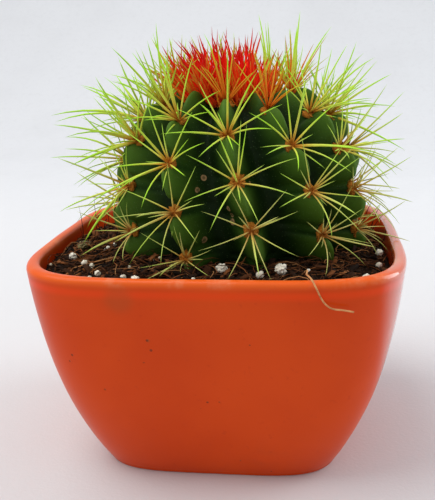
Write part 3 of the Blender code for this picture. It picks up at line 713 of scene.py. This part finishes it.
def chin(row, rib):
    """Bulge of the crest under each areole, as a share of its full height."""
    below = max(((row - rib_stagger(rib % RIBS)) % 1.0 - 0.04) / 0.96, 0.0)
    fade = clamp((row - YOUNGEST_ROW + 0.4) / 0.8) * clamp((4.35 - row) / 0.5)
    return math.sin(math.pi * below ** 0.52) * fade


def crease(row, rib):
    """Dent of the crest above each areole, as a share of its full depth."""
    above = (row - rib_stagger(rib % RIBS)) % 1.0
    dent = max(1 - abs(above - 0.80) / 0.16, 0.0)
    return dent * dent * (3 - 2 * dent) * clamp(row - 0.3)


def groove_depth(arc):
    """Depth of the grooves between the ribs."""
    row = (arc - FIRST_AREOLE) / PITCH
    if row < 1.5:
        return GROOVE_DEPTH * (0.18 + 0.82 * max(row + 0.5, 0.0) / 2)
    foot = arc_at(STEM_FOOT_BOTTOM)
    fade = clamp((foot - arc) / (foot - arc_at(-0.008)))
    return fade * (GROOVE_DEPTH + (GROOVE_DEPTH_AT_SOIL - GROOVE_DEPTH) * clamp((row - 1.5) / 2.5))


def skin_point(rib, arc):
    """A point of the skin in the stem's own frame, with its place in the groove and its chin."""
    row = (arc - FIRST_AREOLE) / PITCH
    nearest = round(rib)
    flank = abs(rib - nearest) * 2
    bulge = chin(row, nearest) * (1 - flank) ** 3 * (1 + 3 * flank)
    roundness = 0.52 - 0.24 * clamp((row - 0.3) / 2.4)
    share = flank ** 2 / (flank ** 2 + roundness ** 2) * (1 + roundness ** 2)
    notch = CREASE_DEPTH * crease(row, nearest) * (1 - flank)
    swell = CHIN_HEIGHT * bulge - notch - groove_depth(arc) * share
    place = crest_at(arc) + outward_at(arc) * swell
    angle = rib_angle(0, row) + 2 * math.pi * rib / RIBS
    return Vector((place.x * math.cos(angle), place.x * math.sin(angle), place.y)), flank, bulge


def skin_place(rib, row):
    """A place on the skin in the pot's frame, by rib and row."""
    return STEM_FRAME @ skin_point(rib, FIRST_AREOLE + PITCH * row)[0]


# Corky scars on the skin: rib, row and radius.
SCARS = [(-0.65, 1.85, 0.0013), (-0.75, 2.20, 0.0012), (-0.27, 2.62, 0.0012), (-0.24, 2.78, 0.0010),
         (-0.26, 2.95, 0.0014), (-0.80, 3.40, 0.0015), (0.22, 1.95, 0.0008)]


def make_stem():
    """The ribbed green body."""
    first = CROWN_RADIUS + 0.0006
    last = arc_at(STEM_FOOT_BOTTOM)
    rows = 150
    grooves = {}

    def place(side, row):
        if row == 0:
            return STEM_FRAME @ Vector((0, 0, STEM_TOP - DISH_DEPTH))
        if row == rows:
            return STEM_FRAME @ Vector((0, 0, STEM_FOOT_BOTTOM))
        arc = first + (last - first) * (row - 1) / (rows - 2)
        point, flank, bulge = skin_point(side / STEPS_PER_RIB, arc)
        point = STEM_FRAME @ point
        point += point.normalized() * noise.noise(point * 260) * 0.00012
        grooves[tuple(round(value, 6) for value in point)] = (flank, bulge)
        return point

    made = wrapped("ribbed_stem", RIBS * STEPS_PER_RIB, rows, place)
    shades = [grooves.get(tuple(round(value, 6) for value in corner.co), (1.0, 0.0))
              for corner in made.data.vertices]
    # The groove share also sets the painted shade in the grooves.
    store(made, "groove", [shade[0] for shade in shades])
    # The chin share also sets the painted highlight on the chins.
    store(made, "chin", [shade[1] for shade in shades])
    store(made, "foot", [clamp((POT_HEIGHT + 0.022 - corner.co.z) / 0.02) for corner in made.data.vertices])
    settle(made, green_skin(), "cactus_skin", "stem")


# Spines.

# Long spines that stand out: by (rib, place), each as (direction and rise in degrees, length, width).
LONG_SPINES = {
    (8, 1): [(-63, 43, 0.0340, 0.00060), (-75, 40, 0.0335, 0.00055), (-90, 67, 0.0280, 0.00045)],
    (7, 1): [(-20, 41, 0.0295, 0.00050), (0, 84, 0.0260, 0.00060)],
    (9, 1): [(-80, 35, 0.0240, 0.00070), (-60, 55, 0.0260, 0.00045)],
    (8, 2): [(-46, 70, 0.0230, 0.00045), (-110, 80, 0.0255, 0.00045), (-50, 35, 0.0220, 0.00045)],
    (8, 3): [(-77, 80, 0.0190, 0.00030), (-45, 53, 0.0140, 0.00030)],
    (9, 0): [(-115, 53, 0.0180, 0.00040)],
    (8, 0): [(-80, 49, 0.0200, 0.00036)],
    (9, 2): [(-77, 26, 0.0250, 0.00065)],
    (3, 1): [(-100, 8, 0.0285, 0.00050), (-105, 27, 0.0180, 0.00045), (-50, 68, 0.0180, 0.00050)],
    (2, 0): [(-43, 22, 0.0235, 0.00050)],
    (3, 2): [(-110, 35, 0.0210, 0.00040), (-100, 15, 0.0230, 0.00040)],
    (4, 1): [(-145, 75, 0.0305, 0.00050)],
    (4, 0): [(-87, 65, 0.0275, 0.00055), (-18, 72, 0.0300, 0.00050)],
    (3, 0): [(0, 78, 0.0225, 0.00070)],
    (5, 0): [(4, 72, 0.0305, 0.00045), (12, 77, 0.0265, 0.00042)],
    (2, 2): [(-48, 32, 0.0140, 0.00032)],
}


# Ribs whose upper areoles carry a thicket of extra spines: those at the sides and behind the crown.
SHAGGY_RIBS = (3, 4, 5, 6, 7, 8, 9)

YOUNG_ROW = 0.32
PAD_LIFT = 0.0007
TIP_LIFT = 0.0026
BOW_LIFT = 0.0014
CENTRAL_WIDTH = 0.00046
RADIAL_WIDTH = 0.00030


def areoles():
    """Every areole as (rib, place in its rib, row)."""
    for rib in range(RIBS):
        rows = [turn + rib_stagger(rib) for turn in range(-1, ROWS)]
        for place, row in enumerate(row for row in rows if YOUNGEST_ROW < row < LAST_ROW):
            yield rib, place, row


def areole_frame(rib, row):
    """Place of an areole: X to the right, Y up the rib and Z outwards."""
    arc = FIRST_AREOLE + PITCH * row
    spread = Matrix.Rotation(rib_angle(rib, row), 3, "Z")
    place = crest_at(arc)
    normal = outward_at(arc)
    normal = (normal + Vector((-normal.y, normal.x)) * AREOLE_TILT).normalized()
    outward = spread @ Vector((normal.x, 0, normal.y))
    upward = spread @ Vector((-normal.y, 0, normal.x))
    turned = Matrix((upward.cross(outward), upward, outward)).transposed().to_4x4()
    return STEM_FRAME @ Matrix.Translation(spread @ Vector((place.x, 0, place.y))) @ turned


def cad_spines(node, middle):
    """The spines that a CAD cluster holds, as (bow or None, tip)."""
    mesh = bmesh.new()
    mesh.from_mesh(node.data)
    bmesh.ops.remove_doubles(mesh, verts=mesh.verts, dist=1e-5)
    far = {corner for corner in mesh.verts if (corner.co - middle).length > 0.0026}
    spines = []
    while far:
        group = {far.pop()}
        edge = list(group)
        while edge:
            around = [link.other_vert(corner) for corner in edge for link in corner.link_edges]
            edge = list({corner for corner in around if corner in far})
            group.update(edge)
            far.difference_update(edge)
        tip = max(group, key=lambda corner: (corner.co - middle).length)
        spines.append((bow_of(group, tip), tip.co.copy()))
    mesh.free()
    return sorted(spines, key=lambda spine: tuple(spine[1]))


def bow_of(group, tip):
    """The point that a central spine's curve passes near halfway; a radial spine has none."""
    ring = [corner.co for corner in group if corner is not tip]
    return sum(ring, Vector()) / len(ring) if ring else None


def main_spine(model, spot, middle, bow, tip, row, old, chance):
    """One of the CAD cluster's own spines, grown to its age and lifted off the skin if it points down."""
    central = bow is not None
    young = row < YOUNG_ROW
    outward = spot.to_3x3() @ Vector((0, 0, 1))
    grown = 0.62 + 0.38 * clamp((row + 0.36) / 0.9)
    tip = middle.lerp(tip, grown)
    down = max(-(tip - middle).normalized().dot(spot.to_3x3() @ Vector((0, 1, 0))), 0.0)
    tip += outward * TIP_LIFT * down
    if central:
        bow = middle.lerp(bow, grown)
    else:
        reach = (tip - middle).length
        bow = middle.lerp(tip, 0.5) + (outward * 0.7 + random_way(chance) * 0.5) * reach * 0.045
    bow += outward * BOW_LIFT * down
    root = middle + (tip - middle).normalized() * PAD_LIFT
    width = (CENTRAL_WIDTH if central else RADIAL_WIDTH) * chance.uniform(0.9, 1.12) * (1 - 0.35 * old)
    tone = clamp(old * 0.9 + chance.uniform(-0.25, 0.2))
    if young:
        width *= 0.8
        tone = chance.uniform(0.75, 1.0) if row > -0.1 else chance.uniform(0.2, 0.9)
    spots = bent_rod(model, root, bow, tip, width, 0.75 if central else 1.0)
    return model, spots, tone, 2 if young else 0


def make_cluster(rib, place, row, spine, pad, looks):
    """One areole: a felt pad and the spines that stand on it."""
    name = f"spine_cluster_{rib + 1}_{place + 1}"
    chance = random.Random(40 * rib + place)
    spot = areole_frame(rib, row)
    middle = spot.translation + spot.to_3x3() @ Vector((0, 0, 1)) * PAD_LIFT
    old = clamp((row - 1.3) / 2.2 + middle.x * 6)
    young = row < YOUNG_ROW
    copies = [(pad, pad_corners(pad, spot, chance), chance.random(), 1)]
    for bow, tip in cad_spines(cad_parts[name], middle):
        copies.append(main_spine(spine, spot, middle, bow, tip, row, old, chance))
    if not young:
        copies += extra_radials(spine, spot, middle, old, chance)
    if rib in SHAGGY_RIBS and place < 2:
        copies += shaggy_spines(spine, spot, middle, young, chance)
    copies += long_spines(spine, spot, middle, LONG_SPINES.get((rib, place), []), chance)
    made = bundle(f"spines_{rib + 1}_{place + 1}", copies)
    settle(made, looks, "spines", name)


def spine_way(spot, azimuth, climb):
    """A direction from an areole: azimuth round its normal and climb off the skin, in degrees."""
    azimuth, climb = math.radians(azimuth), math.radians(climb)
    flat = Vector((math.cos(azimuth), math.sin(azimuth), 0)) * math.cos(climb)
    return spot.to_3x3() @ (flat + Vector((0, 0, math.sin(climb))))


def long_spines(model, spot, middle, wanted, chance):
    """The spines of an areole that stand out beyond the others."""
    for azimuth, climb, length, width in wanted:
        tip = middle + spine_way(spot, azimuth, climb) * length
        bow = middle.lerp(tip, 0.5) + Vector((0, 0, length * chance.uniform(0.03, 0.10)))
        root = middle.lerp(tip, 0.02)
        tone = chance.uniform(0.0, 0.15) if width > 0.0004 else 0.7
        yield model, bent_rod(model, root, bow, tip, width, 0.7), tone, 0


def shaggy_spines(model, spot, middle, young, chance):
    """The thicket of lime spines on the areoles behind and beside the crown."""
    for _ in range(10):
        way = spine_way(spot, chance.uniform(0, 360), chance.uniform(38, 82))
        way = (way + Vector((0, 0, 0.25))).normalized()
        tip = middle + way * chance.uniform(0.014, 0.024) * (0.8 if young else 1.0)
        bow = middle.lerp(tip, 0.5) + random_way(chance) * 0.0008
        spots = bent_rod(model, middle + way * 0.0006, bow, tip, chance.uniform(0.00028, 0.00046), 0.75)
        yield model, spots, chance.uniform(0.0, 0.45), 0


def extra_radials(model, spot, middle, old, chance):
    """Thin short spines between an areole's main ones."""
    for order in range(4):
        way = spine_way(spot, 90 * order + 22 + chance.uniform(-20, 20), chance.uniform(10, 34))
        tip = middle + way * chance.uniform(0.008, 0.014) * (1 - 0.3 * old)
        bow = middle.lerp(tip, 0.5) + spot.to_3x3() @ Vector((0, 0, chance.uniform(0.0, 0.0006)))
        tone = clamp(old * 0.9 + chance.uniform(-0.1, 0.3))
        spots = bent_rod(model, middle + way * 0.0006, bow, tip, chance.uniform(0.00022, 0.00030))
        yield model, spots, tone, 0


def pad_corners(model, spot, chance):
    """A felt pad pressed onto the skin."""
    turn = Matrix.Rotation(chance.uniform(0, FULL_TURN), 3, "Z")
    wide = PAD_RADIUS * chance.uniform(1.08, 1.28)
    spots = [turn @ Vector(corner) for corner in corners(model)]
    spots = [Vector((x * 2 * wide * 0.9, y * 2 * wide * 1.12, z * 0.0024 + 0.0002)) for x, y, z in spots]
    return np.array([spot @ corner for corner in spots])


def make_spines():
    """All areoles with their spines."""
    spine = rod_model(6, (0.95, 0.88, 0.76, 0.60, 0.40, 0.16))
    pad = lump_model(3, 0.55, 3, fine=3.5)
    looks = [yellow_spine(), areole_felt(), red_spine()]
    for rib, place, row in areoles():
        make_cluster(rib, place, row, spine, pad, looks)


# Crown.


def make_crown():
    """Wool in the stem's dish, and a dense brush of young red spines."""
    chance = random.Random(12)
    base = STEM_FRAME @ Matrix.Translation((0, 0, STEM_TOP - DISH_DEPTH))
    make_wool(chance, base, rod_model(3, (0.9, 0.7, 0.35)))
    make_brush(chance, base, rod_model(5, (0.92, 0.80, 0.62, 0.40, 0.14)))


def make_wool(chance, base, strand):
    """A cushion with short hairs that stand off it."""
    cushion = lump_model(4, 0.25, 9, fine=4.0)
    spots = [Vector((x * 2.35 * CROWN_RADIUS + CROWN_DRIFT * 0.6, y * 2.35 * CROWN_RADIUS, z * 0.009))
             for x, y, z in corners(cushion)]
    copies = [(cushion, np.array([base @ spot for spot in spots]), 0.2, 0)]
    for _ in range(420):
        angle = chance.uniform(0, 2 * math.pi)
        away = 1.22 * CROWN_RADIUS * math.sqrt(chance.random())
        lean = away / CROWN_RADIUS
        root_height = 0.0032 - 0.0028 * lean ** 2
        root = Vector((away * math.cos(angle) + CROWN_DRIFT, away * math.sin(angle), root_height))
        way = Vector((math.cos(angle) * lean, math.sin(angle) * lean, 1.0)) + random_way(chance) * 0.9
        tip = root + way.normalized() * chance.uniform(0.0015, 0.0034)
        bow = root.lerp(tip, 0.5) + random_way(chance) * 0.0006
        spots = bent_rod(strand, base @ root, base @ bow, base @ tip, 0.00013)
        copies.append((strand, spots, chance.random(), 0))
    settle(bundle("crown_wool", copies), crown_wool(), "crown_wool")


def make_brush(chance, base, spine):
    """Young spines in tufts, red in the middle and amber at the edge."""
    brush = []
    for _ in range(480):
        angle = chance.uniform(0, 2 * math.pi)
        share = math.sqrt(chance.random())
        away = 1.34 * CROWN_RADIUS * share
        root = Vector((away * math.cos(angle), away * math.sin(angle), 0.0030 - 0.0035 * share ** 2))
        root += Vector((CROWN_DRIFT, 0, 0))
        lean = 0.10 + 0.48 * share
        way = Vector((math.cos(angle) * lean + CROWN_LEAN, math.sin(angle) * lean, 1.0))
        way += random_way(chance) * 0.36
        tuft = 1 + 0.45 * noise.noise(Vector((root.x * 320, root.y * 320, 4.7)))
        tip = root + way.normalized() * chance.uniform(0.0085, 0.0205) * (1.08 - 0.28 * share) * tuft
        bow = root.lerp(tip, 0.5) + random_way(chance) * 0.0013
        tone = max(share * 1.15 - 0.70, 0.0) * chance.uniform(0.2, 1.6)
        spots = bent_rod(spine, base @ root, base @ bow, base @ tip, chance.uniform(0.00042, 0.00066))
        brush.append((spine, spots, min(tone, 1.0), 0))
    settle(bundle("crown_spines", brush), red_spine(), "spines", "crown")


# Soil.


def make_soil():
    """The peat that fills the pot: a rough mound on top, smooth where the wall holds it."""
    rows = 70
    wall_rows = 6

    def place(side, row):
        angle = 2 * math.pi * side / PLAN_SIDES
        if row == rows:
            return Vector((0, 0, POT_FLOOR + SOIL_FIT))
        if row > rows - wall_rows:
            fall = (row - rows + wall_rows) / (wall_rows - 1)
            z = SOIL_WALL_TOP - (SOIL_WALL_TOP - POT_FLOOR - SOIL_FIT) * fall
            half_width = pot_half_width(max(z, SOIL_WALL_BOTTOM)) - POT_WALL - SOIL_FIT
            radius = plan_radius(half_width - (0.002 if row == rows - 1 else 0), squareness_at(z), angle)
            return Vector((radius * math.cos(angle), radius * math.sin(angle), z))
        share = row / (rows - wall_rows)
        radius = plan_radius(pot_half_width(SOIL_WALL_TOP) - POT_WALL - 0.0003, RIM_SQUARENESS, angle) * share
        point = Vector((radius * math.cos(angle), radius * math.sin(angle), 0))
        rough = noise.fractal(point * 420, 1.0, 2.0, 4) * 0.0011
        point.z = soil_height(point.x, point.y) + rough - SOIL_FIT
        return point

    made = wrapped("peat", PLAN_SIDES, rows, place)
    settle(made, dark_peat(), "soil", "potting_soil")


def soil_spot(chance, edge=0.0):
    """A random open place on the soil, between the stem and the wall."""
    while True:
        x = chance.uniform(-SOIL_REACH, SOIL_REACH)
        y = chance.uniform(-SOIL_REACH, SOIL_REACH)
        away = math.hypot(x - STEM_OFFSET_X, y - STEM_OFFSET_Y)
        wall = plan_radius(SOIL_HALF_WIDTH - edge, RIM_SQUARENESS, math.atan2(y, x))
        if away > STEM_RADIUS - 0.0045 and math.hypot(x, y) < wall:
            return Vector((x, y, soil_height(x, y)))


def any_turn(chance):
    """A random turn in all three directions."""
    return Euler((chance.uniform(0, FULL_TURN), chance.uniform(0, FULL_TURN), chance.uniform(0, FULL_TURN)))


def make_litter():
    """Bark, crumbs and fibres that lie on the peat."""
    chance = random.Random(5)
    chips = [chip_model(seed) for seed in range(5)]
    crumbs = [lump_model(1, 0.5, seed) for seed in range(3)]
    copies = []
    for _ in range(760):
        size = 0.0010 + 0.0038 * chance.random() ** 2
        spot = soil_spot(chance, size * 0.5) + Vector((0, 0, chance.uniform(-0.0002, 0.0010)))
        turn = Euler((chance.uniform(-0.7, 0.7), chance.uniform(-0.7, 0.7), chance.uniform(0, FULL_TURN)))
        model = chance.choice(chips)
        copies.append((model, laid(model, spot, size, turn), 0.85 * chance.random() ** 1.3, 0))
    for _ in range(1300):
        size = chance.uniform(0.0006, 0.0016)
        spot = soil_spot(chance, size * 0.5) + Vector((0, 0, chance.uniform(-0.0003, 0.0005)))
        model = chance.choice(crumbs)
        copies.append((model, laid(model, spot, size, any_turn(chance)), chance.random() * 0.7, 0))
    settle(bundle("bark_litter", copies), bark_and_coir(), "bark")
    make_fibres(chance)


# Dry stalks that stand by the rim: place across and along the pot, lean to the right and rise.
DRY_STALKS = [(-0.0500, -0.0060, -0.0010, 0.0150), (-0.0485, 0.0020, 0.0030, 0.0110),
              (-0.0470, 0.0090, -0.0020, 0.0160), (-0.0510, -0.0120, 0.0025, 0.0090),
              (-0.0460, 0.0160, 0.0010, 0.0120), (0.0500, 0.0060, 0.0060, 0.0110),
              (0.0510, 0.0130, 0.0040, 0.0140), (0.0500, 0.0190, -0.0030, 0.0120),
              (0.0520, 0.0000, 0.0030, 0.0090), (0.0490, 0.0250, 0.0050, 0.0150)]


def make_fibres(chance):
    """Coir fibres tangled in the soil, and dry stalks by the rim."""
    strand = rod_model(4, (0.95, 0.85, 0.7, 0.45))
    copies = []
    for _ in range(900):
        root = soil_spot(chance, 0.001) + Vector((0, 0, 0.0004))
        turn = chance.uniform(0, FULL_TURN)
        reach = chance.uniform(0.004, 0.015)
        tip = root + Vector((math.cos(turn), math.sin(turn), 0)) * reach
        limit = plan_radius(FIBRE_HALF_WIDTH, RIM_SQUARENESS, math.atan2(tip.y, tip.x))
        if math.hypot(tip.x, tip.y) > limit:
            continue
        tip.z = soil_height(tip.x, tip.y) + chance.uniform(0.0002, 0.0024)
        bow = root.lerp(tip, 0.5) + random_way(chance) * reach * 0.22
        bow.z = max(bow.z, soil_height(bow.x, bow.y) + 0.0003)
        spots = bent_rod(strand, root, bow, tip, chance.uniform(0.00009, 0.00020))
        copies.append((strand, spots, chance.uniform(0.35, 1.0), 0))
    for x, y, lean, rise in DRY_STALKS:
        root = Vector((x, y, soil_height(x, y) - 0.0003))
        tip = root + Vector((lean, chance.uniform(-0.002, 0.002), rise))
        bow = root.lerp(tip, 0.5) + random_way(chance) * 0.0016
        copies.append((strand, bent_rod(strand, root, bow, tip, 0.00016), 0.42, 0))
    settle(bundle("coir_fibres", copies), bark_and_coir(), "dry_fibre")


PERLITE = ["perlite_front_1", "perlite_front_2", "perlite_left_1", "perlite_left_2",
           "perlite_right_1", "perlite_right_2"]

# Smaller perlite grains that show: place across and along the pot, and size.
LOOSE_PERLITE = [(0.0152, -0.0428, 0.0024), (-0.0253, -0.0466, 0.0018), (-0.0341, -0.0430, 0.0020),
                 (-0.0415, -0.0320, 0.0022), (0.0514, -0.0245, 0.0020), (-0.0040, -0.0475, 0.0012)]


def make_perlite():
    """White grains: one for each of the larger ones, and a scatter of small ones."""
    chance = random.Random(21)
    look = white_perlite()
    for order, node in enumerate(PERLITE):
        low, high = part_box(node)
        model = lump_model(4, 0.42, order + 2, fine=2.2)
        size = max(high.x - low.x, high.y - low.y) * 1.05
        spots = laid(model, (low + high) / 2, size, any_turn(chance))
        settle(bundle(f"grain_{node[8:]}", [(model, spots, 0.1, 0)]), look, "perlite", node)
    small = [lump_model(2, 0.45, seed + 11, fine=2.0) for seed in range(3)]
    copies = []
    for x, y, size in LOOSE_PERLITE:
        spot = Vector((x, y, soil_height(x, y) + size * 0.35))
        copies.append((small[0], laid(small[0], spot, size, any_turn(chance)), 0.2, 0))
    for _ in range(34):
        size = chance.uniform(0.0007, 0.0018)
        spot = soil_spot(chance, size * 0.6) + Vector((0, 0, size * 0.25))
        model = chance.choice(small)
        copies.append((model, laid(model, spot, size, any_turn(chance)), chance.random() ** 2, 0))
    settle(bundle("perlite_scatter", copies), look, "perlite")


def make_chips():
    """The two large bark chips."""
    chance = random.Random(3)
    for node in ("bark_chip_rear", "bark_chip_left"):
        low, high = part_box(node)
        model = lump_model(4, 0.5, 5, fine=2.6)
        middle = (low + high) / 2
        spots = corners(model) * 1.05 * np.array(high - low) + np.array(middle)
        settle(bundle(node + "_piece", [(model, spots, 0.5, 0)]), olive_bark(), "bark", node)


def dress_root():
    """The root fibre keeps its own shape and gets a dry surface."""
    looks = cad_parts["root_fibre"].data.materials
    looks.clear()
    looks.append(dry_root())


# Stage.


def make_stage():
    """A pale sweep: a floor that turns up into a backdrop, round a quarter of a circle."""
    front, length, width, radius = -5.0, 8.4, 12, 0.6
    deselect_all()
    bpy.ops.mesh.primitive_grid_add(x_subdivisions=2, y_subdivisions=84, size=1)
    floor = bpy.context.object
    floor.name = "pale_sweep"
    for corner in floor.data.vertices:
        share = corner.co.y + 0.5
        corner.co.x *= width
        run = share * length + front
        over = max(run - radius, 0.0)
        turn = min(over / radius, math.pi / 2)
        corner.co.y = min(run, radius) + radius * math.sin(turn)
        corner.co.z = radius * (1 - math.cos(turn)) + max(over - radius * math.pi / 2, 0.0)
    bpy.ops.object.shade_smooth()
    floor.data.materials.append(pale_floor())


def make_light(name, place, aim, size, energy, color):
    """A soft square lamp that faces a point."""
    data = bpy.data.lights.new(name, "AREA")
    data.shape = "RECTANGLE"
    data.size, data.size_y = size
    data.energy = energy
    data.color = color
    lamp = bpy.data.objects.new(name, data)
    lamp.location = place
    lamp.rotation_euler = (Vector(aim) - Vector(place)).to_track_quat("-Z", "Y").to_euler()
    bpy.context.scene.collection.objects.link(lamp)


def make_lights():
    """A large lamp over the left, a cooler one at the right and a soft room."""
    make_light("soft_key", (-0.50, -0.10, 0.95), (0, 0, 0.06), (0.9, 0.9), 8.5, (1.0, 0.98, 0.96))
    make_light("side_window", (0.75, 0.25, 0.40), (0, 0, 0.06), (0.5, 0.8), 3.5, (0.95, 0.98, 1.0))
    world = bpy.data.worlds.new("soft_room")
    world.use_nodes = True
    background = world.node_tree.nodes["Background"]
    background.inputs["Color"].default_value = (0.93, 0.96, 1.0, 1.0)
    background.inputs["Strength"].default_value = 0.62
    bpy.context.scene.world = world


def make_camera():
    """A camera in front and a little above, turned and tilted towards the pot."""
    data = bpy.data.cameras.new("camera")
    data.sensor_width = 36.0
    data.lens = 53.09
    yaw, pitch, roll = -0.1278, 0.2575, 0.026
    right = Vector((math.cos(yaw), -math.sin(yaw), 0))
    forward = Vector((math.sin(yaw) * math.cos(pitch), math.cos(yaw) * math.cos(pitch), -math.sin(pitch)))
    up = right.cross(forward)
    across = right * math.cos(roll) - up * math.sin(roll)
    upright = right * math.sin(roll) + up * math.cos(roll)
    turned = Matrix((across, upright, -forward)).transposed().to_4x4()
    camera = bpy.data.objects.new("camera", data)
    camera.matrix_world = Matrix.Translation((0.0296, -0.2516, 0.1317)) @ turned
    bpy.context.scene.collection.objects.link(camera)
    bpy.context.scene.camera = camera


bpy.context.scene.view_settings.view_transform = "Standard"
deselect_all()
make_camera()
make_lights()
make_stage()
make_pot()
make_stem()
make_spines()
make_crown()
make_soil()
make_litter()
make_perlite()
make_chips()
dress_root()
